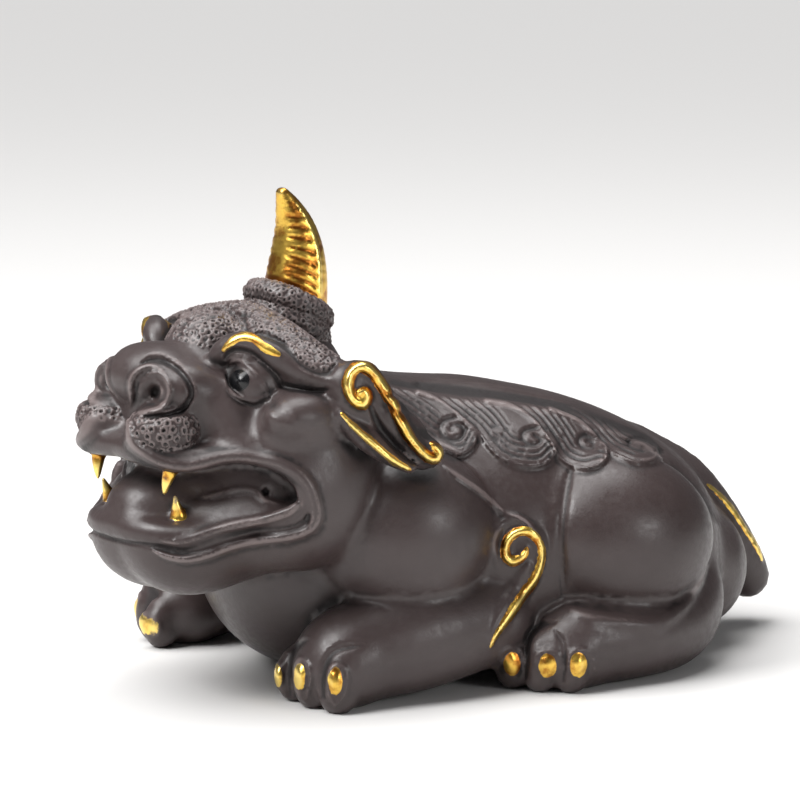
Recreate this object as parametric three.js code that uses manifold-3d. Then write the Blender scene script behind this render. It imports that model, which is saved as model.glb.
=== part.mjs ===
// A crouching one-horned pixiu, a mythical beast, cast in dark stoneware as one piece.
// Millimetres, +Z up. It faces -Y, its left side is +X, and it lies on Z = 0.
// It is modelled as clay is: forms are pressed together and cut back, which gives a signed
// distance. A net of quads is drawn over that, thinned, and cut flat underneath.

import * as THREE from 'three';
import Module from 'manifold-3d';

// Driving sizes of the figure. The forms below are placed in a figure of the design size, and
// the whole is stretched from that to these.
const LENGTH = 139;
const WIDTH = 85;
const HEIGHT = 88;

// How finely the clay is read, and how many triangles are kept of it.
const CELL = 0.95;
const TRIANGLES = 9000;

// The head's own frame: a is out to its left, w back from the muzzle's front, z up.
const HEAD_TURN = THREE.MathUtils.degToRad(15);
const MUZZLE = [14.5, -66];

// The far foreleg is stretched forward by this much more than the near one.
const FAR_FORELEG = 7.5;

const { sqrt, abs, min, max, hypot, sin, cos } = Math;
const clamp = (v, low, high) => max(low, min(high, v));
const smooth = (low, high, v) => {
  const t = clamp((v - low) / (high - low), 0, 1);
  return t * t * (3 - 2 * t);
};

// A form is a function of a point that gives its distance, negative inside. It carries the
// sphere that holds it, so that points far away can pass it by.
const form = (distance, centre, reach) => Object.assign(distance, { centre, reach });

const egg = (c, r, pitch = 0, yaw = 0) => {
  const [cp, sp, cy, sy] = [cos(pitch), sin(pitch), cos(yaw), sin(yaw)];
  const distance = (x, y, z) => {
    const dx = x - c[0];
    const dy = y - c[1];
    const dz = z - c[2];
    const ex = dx * cy + dy * sy;
    const ey = dy * cy - dx * sy;
    const fx = ex / r[0];
    const fy = (ey * cp + dz * sp) / r[1];
    const fz = (dz * cp - ey * sp) / r[2];
    const k0 = sqrt(fx * fx + fy * fy + fz * fz);
    const k1 = sqrt((fx / r[0]) ** 2 + (fy / r[1]) ** 2 + (fz / r[2]) ** 2);
    return k1 < 1e-9 ? -min(...r) : (k0 * (k0 - 1)) / k1;
  };
  return form(distance, c, max(...r));
};

// A smooth curve through its knots, as short straight steps.
const smoothed = (knots, steps) => {
  const at = (i) => knots[clamp(i, 0, knots.length - 1)];
  const n = steps * (knots.length - 1);
  const path = [];
  for (let i = 0; i <= n; i++) {
    const k = min(Math.floor(i / steps), knots.length - 2);
    const t = i / steps - k;
    const [p, q, r, s] = [at(k - 1), at(k), at(k + 1), at(k + 2)];
    path.push(q.map((v, m) => {
      const bend = 2 * p[m] - 5 * v + 4 * r[m] - s[m];
      const twist = 3 * v - 3 * r[m] + s[m] - p[m];
      return v + 0.5 * t * (r[m] - p[m] + t * (bend + t * twist));
    }));
  }
  return path;
};

// A rope follows such a curve, and each of its knots is a point and a radius. A stroke follows
// one too, and there a knot's fourth value is a share of the width, and of the height.
const rope = (knots, steps = 4) => {
  const path = smoothed(knots, steps);
  const n = path.length - 1;
  const middle = path[n >> 1].slice(0, 3);
  const reach = max(...path.map((p) => hypot(p[0] - middle[0], p[1] - middle[1], p[2] - middle[2]) + p[3]));
  const distance = (x, y, z) => {
    let best = 1e9;
    for (let i = 0; i < n; i++) {
      const p = path[i];
      const q = path[i + 1];
      const dx = q[0] - p[0];
      const dy = q[1] - p[1];
      const dz = q[2] - p[2];
      const ux = x - p[0];
      const uy = y - p[1];
      const uz = z - p[2];
      const t = clamp((ux * dx + uy * dy + uz * dz) / (dx * dx + dy * dy + dz * dz), 0, 1);
      const vx = ux - dx * t;
      const vy = uy - dy * t;
      const vz = uz - dz * t;
      best = min(best, sqrt(vx * vx + vy * vy + vz * vz) - p[3] - (q[3] - p[3]) * t);
    }
    return best;
  };
  return form(distance, middle, reach);
};

const ring = (c, radius, thick, tilt) => {
  const [ct, st] = [cos(tilt), sin(tilt)];
  const distance = (x, y, z) => {
    const ry = (y - c[1]) * ct + (z - c[2]) * st;
    const rz = (z - c[2]) * ct - (y - c[1]) * st;
    return hypot(hypot(x - c[0], ry) - radius, rz) - thick;
  };
  return form(distance, c, radius + thick);
};

// The directions that lines are drawn from: the head's three-quarter view, in its own frame, and
// the body's. Each comes with the right and the up that go with it.
const looking = (turn, lift) => ({
  out: [sin(turn) * cos(lift), -cos(turn) * cos(lift), sin(lift)],
  right: [cos(turn), sin(turn), 0],
  up: [-sin(turn) * sin(lift), cos(turn) * sin(lift), cos(lift)],
});
const FACE = looking(0.89, 0.14);
const SIDE = looking(1.15, 0.14);
const dot = (v, x, y, z) => v[0] * x + v[1] * y + v[2] * z;

// A prism runs along such a direction, from an outline drawn on the clay.
const prism = (view, knots) => {
  const outline = knots.map((k) => [dot(view.right, ...k), dot(view.up, ...k)]);
  const distance = (x, y, z) => {
    const [px, py] = [dot(view.right, x, y, z), dot(view.up, x, y, z)];
    let best = 1e9;
    let inside = false;
    for (let i = 0, j = outline.length - 1; i < outline.length; j = i++) {
      const [ax, ay] = outline[i];
      const [bx, by] = outline[j];
      const [dx, dy, ux, uy] = [bx - ax, by - ay, px - ax, py - ay];
      const t = clamp((ux * dx + uy * dy) / (dx * dx + dy * dy), 0, 1);
      best = min(best, hypot(ux - t * dx, uy - t * dy));
      if (ay > py !== by > py && ux < (dx * uy) / dy) inside = !inside;
    }
    return inside ? -best : best;
  };
  const centre = [0, 1, 2].map((m) => knots.reduce((t, k) => t + k[m], 0) / knots.length);
  return form(distance, centre, max(...knots.map((k) => hypot(...k.map((v, m) => v - centre[m])))));
};

const join = (a, b, k) => {
  const h = max(k - abs(a - b), 0) / k;
  return min(a, b) - (h * h * k) / 4;
};

// What is inside one form and outside another, and what is inside both.
const less = (a, b) => form((x, y, z) => max(a(x, y, z), -b(x, y, z)), a.centre, a.reach);
const within = (a, b, k) => form((x, y, z) => -join(-a(x, y, z), -b(x, y, z), k), a.centre, a.reach);

// A lump of clay takes forms one after another, each pressed on or cut out with its own softness.
const add = (f, k = 2) => ({ sign: 1, f, k });
const cut = (f, k = 1) => ({ sign: -1, f, k });

// Lines are drawn on the lump: a stroke, a spot and a flat raised field lift it, or sink it where
// their height is less than nothing. They are drawn as they look from one direction, and what
// they measure along that direction counts for DEPTH of its length.
const DEPTH = 0.15;
const stroke = (view, height, width, knots, steps = 2) => {
  const flat = (p) => {
    const along = (1 - DEPTH) * dot(view.out, ...p);
    return p.slice(0, 3).map((v, m) => v - along * view.out[m]);
  };
  const path = smoothed(knots.map((k) => [...k.slice(0, 3), k[3] ?? 1]), steps)
    .map((p) => [...flat(p.slice(0, 3)), p[3]]);
  const low = [0, 1, 2].map((m) => min(...path.map((p) => p[m])) - width);
  const high = [0, 1, 2].map((m) => max(...path.map((p) => p[m])) + width);
  const lift = (x, y, z) => {
    const p = flat([x, y, z]);
    if (p.some((v, m) => v < low[m] || v > high[m])) return 0;
    let best = 1;
    let full = 1;
    for (let i = 0; i < path.length - 1; i++) {
      const [a, b] = [path[i], path[i + 1]];
      const d = [b[0] - a[0], b[1] - a[1], b[2] - a[2]];
      const u = [p[0] - a[0], p[1] - a[1], p[2] - a[2]];
      const t = clamp(dot(d, ...u) / dot(d, ...d), 0, 1);
      const part = a[3] + t * (b[3] - a[3]);
      const gap = hypot(u[0] - t * d[0], u[1] - t * d[1], u[2] - t * d[2]) / (width * part);
      if (gap < best) [best, full] = [gap, part];
    }
    return height * min(full, 1) * (1 - best * best) ** 2;
  };
  return { lift };
};
const spot = (view, height, width, p, tall = 1) => {
  const lift = (x, y, z) => {
    const [dx, dy, dz] = [x - p[0], y - p[1], z - p[2]];
    const [across, up] = [dot(view.right, dx, dy, dz), dot(view.up, dx, dy, dz) / tall];
    const gap = hypot(across, up, DEPTH * dot(view.out, dx, dy, dz));
    return gap < width ? height * (1 - (gap / width) ** 2) ** 1.5 : 0;
  };
  return { lift };
};
const plateau = (view, height, soft, knots) => {
  const edge = prism(view, knots);
  return { lift: (x, y, z) => height * smooth(soft, -soft, edge(x, y, z)) };
};
const lump = (steps) => (x, y, z) => {
  let d = 1e3;
  for (const { sign, f, k, lift } of steps) {
    if (lift) {
      if (abs(d) < 5) d -= lift(x, y, z);
      continue;
    }
    const away = hypot(x - f.centre[0], y - f.centre[1], z - f.centre[2]) - f.reach;
    if (away - k < sign * d) d = sign * join(sign * d, f(x, y, z), k);
  }
  return d;
};

// The head in its own frame, one side of it: the other is its mirror image. Its lines are drawn
// as they look from three-quarter front.
const LID = [
  [11, 9.9, 58.4], [11.4, 10.4, 59.4], [12.8, 10.6, 60.1], [14.3, 11, 60.1], [16.2, 11.4, 59.2],
  [17.8, 11.8, 58], [18.7, 12.5, 56.6], [19.3, 13.1, 54.6],
];
const LOWER_LID = [
  [11, 9.9, 58.4], [13, 8.3, 57.2], [14.2, 8.1, 55.9], [15.5, 8.8, 54.7], [16.5, 10, 54],
  [17.8, 11.2, 53.7], [19.3, 13.1, 54.6],
];
const EYEBALL = egg([13.9, 14.6, 55.7], [5.2, 5.2, 5.2]);
const SOCKET = egg([-1.1, 36, 49], [30, 30, 30]);
const HAIRLINE = [
  [12.2, 13, 64.4, 0.5], [14, 15.5, 64.3], [16.8, 16.6, 63.6], [19.3, 16.7, 62.8], [21.3, 16.9, 61.6],
  [23.1, 17.3, 60.2], [24.4, 18.5, 59.2], [25.6, 19.8, 58.6], [26.2, 21.3, 58.7], [25.9, 23, 59.8, 0.5],
];
const head = lump([
  // skull, crown, jowl, lower jaw and chin, muzzle
  add(egg([0, 26, 47], [24, 18.5, 13.5])),
  add(egg([0, 30.5, 56], [10.5, 10.5, 8]), 3),
  add(egg([16.5, 22, 38.5], [13, 14.5, 15.5]), 6),
  add(egg([0, 12, 31], [18.5, 17.5, 12]), 5),
  add(egg([4.5, 5.3, 28.8], [10.4, 10.5, 9.2]), 4),
  add(egg([0, 10, 50.5], [14.5, 13, 9]), 4),
  add(egg([10.5, 18.3, 56], [8.4, 8, 7]), 4),
  // lips
  add(egg([0, 6, 45.5], [13.5, 9, 4]), 2.5),
  add(rope([
    [0, -4.6, 45.6, 2.2], [5, -4.9, 45.2, 2.2], [9.6, -3.7, 44.6, 2.1], [13, -0.2, 44.3, 2],
    [15.6, 4, 44.8, 1.6], [18.2, 7.4, 45, 1.2],
  ]), 2.5),
  // nose, with its wings, and the pads of the upper lip
  add(egg([0, 10, 57.5], [8, 9, 5]), 3),
  add(egg([0, 2.2, 57], [8.4, 7.5, 5.7]), 2),
  add(egg([7.8, 3.4, 55.2], [5.6, 6.2, 4.9]), 2),
  add(egg([7.6, -1.2, 48.9], [6.4, 5.9, 4.5]), 1.2),
  // folds of the cheek
  add(rope([[12, 8, 55, 1.5], [14.5, 7.5, 51, 2.2], [17, 9, 47, 2], [20, 12.5, 46, 1.8]]), 4),
  add(egg([24, 17, 51.3], [5, 7.5, 4]), 4),
  // forehead and the roll of hair over it
  add(egg([0, 14, 60], [7.4, 6.6, 7]), 1.5),
  add(rope([
    [0, 22, 61.3, 6.8], [8, 21.2, 60.4, 6.4], [15, 21, 58.9, 5.9], [21, 22.3, 57.2, 5],
    [24.5, 24.8, 56, 4],
  ]), 1.5),
  // the pocket of the mouth, open in front, with the gum, the tongue and the lips' edges
  cut(less(prism(FACE, [
    [-12, -8, 42], [-2, -4, 41.8], [3, -3.8, 42.1], [8, -2.2, 42], [11, -1.3, 41.7],
    [13.2, 0.4, 42.2], [15.5, 4.2, 42.9], [17.6, 6.5, 43.6], [19.9, 8.2, 43.8], [22.7, 9.6, 43.1],
    [25.4, 11.4, 41.9], [27, 12.8, 40.1], [27.4, 13.3, 37.7], [26.4, 12.1, 36.5],
    [24.3, 10.3, 35.5], [21.4, 8.6, 34.6], [18.3, 6.2, 33.5], [16.5, 3.4, 32.3],
    [14.1, 0.1, 31.4], [11.2, -2.3, 31.6], [6.4, -4.6, 32.8], [-12, -8, 33.2],
  ]), egg([0, 20.5, 37], [22.5, 18.5, 16])), 1),
  add(within(prism(FACE, [
    [26.2, 12.6, 36.2], [23.2, 15.3, 36.2], [21.5, 14.3, 36.2], [19.9, 11.8, 37],
    [18.8, 10.5, 38.5], [16.9, 8.8, 38.8], [15.4, 7.6, 38.4], [13.1, 5.9, 37.6],
    [12.1, 2.8, 37.3], [10.1, 0.4, 37.1], [6, -2.6, 36.6], [3, -5, 35], [5, -5, 31.5],
    [10.1, -3.8, 30.2], [14.2, -0.7, 30.5], [17.6, 5.3, 32.5], [21.8, 8.3, 33.7],
    [24.6, 10, 34.6], [26.7, 11.9, 35.6],
  ]), egg([0, 20.5, 29.5], [27.5, 22.3, 15]), 1.5), 0.6),
  add(rope([
    [0, -2.6, 30.2, 3], [5, -2.2, 30.2, 3], [9.5, -0.4, 30.5, 3], [13.5, 3.4, 31.2, 2.6], [18, 8.2, 32.6, 2],
  ]), 1.5),
  add(rope([
    [0, -5.2, 31.4, 2.2], [4, -4.9, 31.3, 2.2], [8, -3.5, 31.1, 2.2], [11.5, -0.9, 31.1, 1.9],
    [14.5, 2.7, 31.6, 1.5],
  ]), 1.2),
  add(egg([0, 6.5, 34.6], [9, 12.5, 6.6]), 2.5),
  stroke(FACE, 1.1, 1.8, [
    [3.5, -5.7, 49.6, 0.6], [5.6, -7.1, 47.6], [7.9, -7, 46.2], [11.2, -5.1, 44.5], [13, -3.8, 43.8],
    [14.7, -1.5, 43.4], [16.3, 1.3, 43.9], [17.4, 3.5, 44.6], [19.3, 6.4, 44.9], [21.9, 8.4, 44.7],
    [24.5, 10.3, 44.3], [26.4, 12, 43.4], [28, 13.5, 42], [28.9, 14.8, 40.1], [29.3, 15.6, 37.6],
    [29.2, 16.1, 35.1], [28.4, 15.5, 33], [26.3, 13, 31.7], [22.9, 10.4, 31], [20, 7.9, 30.3],
    [18.1, 5.3, 29.6], [16.3, 2.7, 28.5], [14.5, -0.4, 27.6, 0.9], [12.9, -2.4, 27.5, 0.7],
    [11.1, -3.9, 27.9, 0.5], [9.4, -5, 28.8, 0.2],
  ]),
  stroke(FACE, 0.8, 1.4, [
    [27, 13.2, 36.8, 0.6], [26.7, 11.9, 35.8], [24.6, 10, 34.8], [21.8, 8.3, 33.9],
    [19.5, 6.9, 33.4], [18.1, 4.7, 32.9], [17, 2.8, 32.3], [15.6, 1.3, 31.5], [14.2, -0.7, 30.7, 0.8],
    [12.9, -3, 30.4, 0.5], [10.8, -4.5, 30.7, 0.2],
  ]),
  stroke(FACE, -0.7, 1.2, [
    [28, 15, 35, 0.6], [27.8, 14.4, 33.5], [26, 12.8, 32.5], [23.5, 10.9, 31.9], [20.5, 8.5, 31.4],
    [18.4, 6.2, 30.6], [16.5, 3.7, 29.5], [14.5, 1.3, 28.5], [12.1, -0.9, 28.2],
    [10.4, -3, 28.9, 0.9], [8, -4.9, 29.4, 0.7], [4, -5.9, 29.3, 0.6], [0, -6, 29.2, 0.6],
  ]),
  // nostrils and the folds round them
  stroke(FACE, -0.9, 0.8, [
    [4.1, -3.2, 59.9, 0.5], [5, -1.7, 60.6], [6.4, -0.1, 60.3], [9.1, 0.9, 59.1], [11.6, 1.3, 57.3],
    [12.3, 1.7, 55.3], [12.5, 0.6, 53.9], [11.9, -0.6, 52.4], [10.5, -2.8, 51.6], [8, -4.3, 51.2],
    [5, -4.6, 50.9, 0.5],
  ]),
  stroke(FACE, 0.5, 0.9, [
    [2, -4.2, 52.6, 0.6], [2.4, -4.4, 54.4], [2.9, -4.8, 56.9], [4.1, -4.3, 58.7],
    [5.5, -2.8, 59.6], [7.8, -1.6, 59.2, 0.6],
  ]),
  spot(FACE, -1.5, 2.5, [7, -2.8, 55.2], 1.2),
  stroke(FACE, 0.6, 0.9, [
    [5.8, -3.2, 58.3, 0.6], [7.3, -1.8, 58.6], [9.6, -1.9, 57.8], [10.7, -1.8, 56.2],
    [10.4, -2, 54.3], [9.4, -2.8, 52.9], [8, -4.2, 52.3, 0.6],
  ]),
  // the fold that parts cheek and muzzle
  stroke(FACE, -0.45, 1.6, [
    [19.8, 12.7, 53.6, 0.4], [22.4, 11.9, 53.5], [24.9, 11, 53.1], [26.5, 11.4, 52.3],
    [27.3, 12.1, 51.3, 0.4],
  ]),
  // brow, the folds under it, and the eye between its lids
  add(rope([
    [7.8, 9.4, 59, 1.5], [10, 10.4, 61.6, 2.2], [12.6, 12.3, 62.7, 2.4], [15.7, 14.7, 62.2, 2.6],
    [19.2, 17.3, 60.2, 2.8], [22.6, 19.8, 58.1, 2.8], [25.2, 22.2, 57.2, 2.3],
  ]), 0.8),
  stroke(FACE, -0.7, 1, [
    [11.7, 9.3, 60.6, 0.6], [12.5, 9.5, 61.5], [13.4, 10.4, 62], [14.4, 11.6, 61.9],
    [15.5, 12.5, 61.3], [16.6, 13.4, 60], [18, 13.7, 58.8], [18.8, 14.4, 57.5], [18.9, 15.8, 56.3],
    [20, 17.2, 55.8, 0.8], [22.7, 18.5, 55.5, 0.7], [24.8, 20.1, 55.4, 0.7], [26.9, 21.2, 55.9, 0.5],
  ]),
  add(rope([
    [12.1, 11.3, 59.8, 0.8], [13, 12, 60.1, 1.1], [14.3, 12.6, 60.2, 1.2], [15.1, 13.4, 59.7, 1.2],
    [16.1, 13.8, 58.8, 1.2], [17.2, 14.1, 57.5, 1.1], [18.4, 14.6, 56, 0.8],
  ]), 0.5),
  add(EYEBALL, 0.3),
  cut(less(less(prism(FACE, [...LID, ...LOWER_LID.slice(1, -1).reverse()]), EYEBALL), SOCKET), 0.25),
  spot(FACE, 0.9, 2, [15.9, 9.2, 57.3]),
  stroke(FACE, 0.5, 1.2, [
    [11.9, 8.9, 62.1, 0.6], [12.9, 9.4, 63.2, 0.9], [13.9, 10.3, 64.2], [14.9, 11.2, 64.5],
    [16.1, 12.1, 64.2], [17.6, 12.7, 63.3], [18.9, 13.5, 62.4], [20.3, 14.5, 61.7, 0.6],
  ]),
  stroke(FACE, -0.6, 1, HAIRLINE),
  stroke(FACE, -0.7, 1.2, [[0, 18.4, 67.2], [3, 17.8, 66.5], [7.2, 16.8, 65.2], [8.6, 16.3, 64.5]]),
  // collar and horn
  add(ring([0, 31.7, 63.6], 6.2, 2, -0.48), 0.6),
  add(ring([0, 32.5, 66.7], 6.1, 2.1, -0.48), 0.6),
  add(rope([
    [0, 33.7, 64, 5.6], [0, 34.2, 70.6, 5.4], [0, 34.5, 75.7, 4.6], [0, 34, 80.2, 3.4],
    [0, 32.7, 84.2, 2], [0, 31, 87.3, 0.7],
  ]), 0.4),
  // ear, a folded leaf that lies back, and the rolled rims along it
  add(egg([29.5, 31, 49.5], [3.4, 12.5, 4.6], -0.68, -0.33), 1.2),
  add(egg([28.5, 25.3, 56], [2.6, 4, 4.6]), 1),
  add(egg([33, 37.8, 44.2], [2, 2.8, 2.4]), 1),
  add(rope([[28.5, 21.8, 51.6, 1.2], [30, 25, 48.2, 2], [32, 28.8, 45.4, 2.2], [33.2, 33.4, 42.4, 1.4]]), 1),
  stroke(FACE, 1, 1.1, [
    [31, 24.2, 55.4, 0.7], [31.1, 25.2, 55.6, 0.8], [31.3, 25.6, 54.6, 0.9], [31.6, 24.4, 53.5, 0.9],
    [31.2, 22.5, 54.5, 0.9], [30.8, 21.7, 56.9], [30.7, 22.5, 59.1], [30.9, 24.2, 60],
    [31.3, 26.2, 59.3, 0.9], [31.4, 28.3, 56.9, 0.8], [32.5, 29.7, 54, 0.8], [33.6, 31, 50.6, 0.8],
    [34.2, 32.5, 47.7, 0.8], [34.8, 34.1, 45.6, 0.8], [35.5, 35.8, 43.8, 0.9], [35.8, 37.9, 43.3, 0.9],
    [35.9, 38.4, 44.6, 0.8], [35.3, 37.3, 46, 0.7],
  ]),
  stroke(FACE, 0.9, 1, [
    [29.6, 21.3, 52, 0.5], [31.2, 22.2, 50.3, 0.8], [32.5, 23.9, 48.4], [33.9, 25.9, 46.3],
    [34.7, 28.3, 44.1], [34.8, 31.4, 42.4, 0.8], [33.8, 33.3, 41.7, 0.4],
  ]),
  stroke(FACE, -0.9, 1.1, [
    [31.6, 26.2, 52.9, 0.6], [31.3, 27.9, 49.9], [32, 29.6, 47.4], [33.4, 31.2, 45], [34, 33.8, 42.8, 0.6],
  ]),
  // fangs
  add(rope([
    [10.6, -1.6, 43, 1.5], [10.5, -2.1, 41.6, 1.2], [10.1, -2.5, 39.8, 0.8], [9.8, -2.7, 38.3, 0.35],
  ]), 0.3),
  add(rope([[10, 0.4, 33, 1.7], [10, 0.1, 34.2, 1.4], [10.3, -0.5, 36, 0.8], [10.6, -1, 37.6, 0.35]]), 0.3),
]);

// The body, one side of it.
const torso = lump([
  add(egg([0, 5, 23], [34.5, 37, 26.9])),
  add(egg([0, 22, 19], [33, 32, 24.5]), 6),
  add(rope([[0, -5, 30, 20], [3, -28, 37.4, 18.5]], 1), 8),
  add(egg([0, -27, 20], [25, 21.5, 20]), 6),
  add(egg([24.5, -20, 28.5], [14.5, 17, 15]), 1.5),
  add(egg([24.5, 21.5, 25], [17, 20, 15.2], -0.12), 1.5),
  add(egg([5, 46, 14], [15, 13.5, 13]), 3),
]);

// Each lock of the mane: its outer edge, down the flank and round the foot, and the curl inside.
const LOCKS = [
  [
    [17, -21, 49.5], [21, -17.5, 46.5], [23.8, -14, 43.4], [24.5, -11, 41.9], [24.6, -8.8, 41.2],
    [23.8, -6.3, 42.2], [22.3, -4.6, 43.6], [21, -4.8, 45], [19.2, -5.8, 46.3],
  ],
  [
    [11.2, -11.4, 50.9], [13.4, -8.8, 49.8], [16, -7.1, 48.3], [19.1, -5.7, 46.6], [21.1, -3.8, 44.5],
    [23.2, -2.8, 42.2], [25.7, -1.5, 40.3], [27.4, 0.9, 39.2], [28.3, 3.7, 38.8], [28.8, 6.2, 39.2],
    [27.2, 8.8, 40.4], [26.3, 9.3, 42.2], [23.9, 9, 43.7],
  ],
  [
    [13.9, 1.2, 48.9], [15.2, 4.6, 48.3], [17.9, 6.6, 47.3], [20.4, 7.9, 45.8], [23.2, 8.5, 44],
    [26, 8.8, 42.2], [26.8, 10.1, 39.7], [29.3, 11.3, 38.6], [31.7, 12.9, 38.4], [32.3, 15.5, 39],
    [30.4, 18.1, 40.1], [26.9, 19.4, 41.3],
  ],
  [
    [14.7, 14, 46.8], [17.4, 18, 45.1], [20.6, 19.3, 43.5], [23.7, 19.8, 41.9], [25.9, 20.8, 40.3],
    [30, 21.1, 39.7], [31, 24, 38.6], [28, 29, 38.3], [22, 33.5, 37.6], [18.4, 34.6, 37.4],
    [15.2, 36.1, 38.3],
  ],
];
const CURLS = [
  [
    [18.6, -7.5, 46.8], [18.4, -9.4, 46.4], [19.6, -10.8, 45.2], [21.1, -10.3, 43.8], [21.8, -8.6, 43.4],
    [21.2, -6.7, 44.3], [19.9, -6.5, 45.5], [19.4, -8, 45.8], [20.2, -8.8, 45.1],
  ],
  [
    [22.1, 7.7, 44.5], [22.4, 5.3, 44.4], [23.8, 3.9, 43.5], [25.5, 4.2, 42.5], [25.8, 5.8, 42.2],
    [24.6, 7.3, 42.8], [23.8, 6.4, 43.5],
  ],
  [
    [24.3, 19.3, 42.1], [22.7, 17.4, 42.7], [23.6, 15.5, 42.2], [25.7, 15.1, 41.2], [27, 16.4, 41],
    [25, 18, 41.5], [24.3, 17, 41.9],
  ],
  [
    [14.6, 34.3, 39.6], [17.3, 30.3, 40.5], [21.5, 27.1, 40.5], [25, 26, 40.2], [26, 27.5, 39.6],
    [23, 29.5, 39.8],
  ],
];
// A lock's field runs to the edge of the next lock, or behind the last one to the spine.
const FIELDS = [
  [...LOCKS[0], ...LOCKS[1].slice(0, 4).reverse(), [9.3, -17, 52.1]],
  [...LOCKS[1], ...LOCKS[2].slice(0, 5).reverse(), [13.1, -3.4, 49.4]],
  [...LOCKS[2], ...LOCKS[3].slice(0, 4).reverse(), [14.3, 9.2, 47.8]],
  [...LOCKS[3], [14.6, 34.3, 39.6], [14.5, 29.5, 41.8], [14.5, 24, 44.2], [13, 20, 46]],
];

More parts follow.
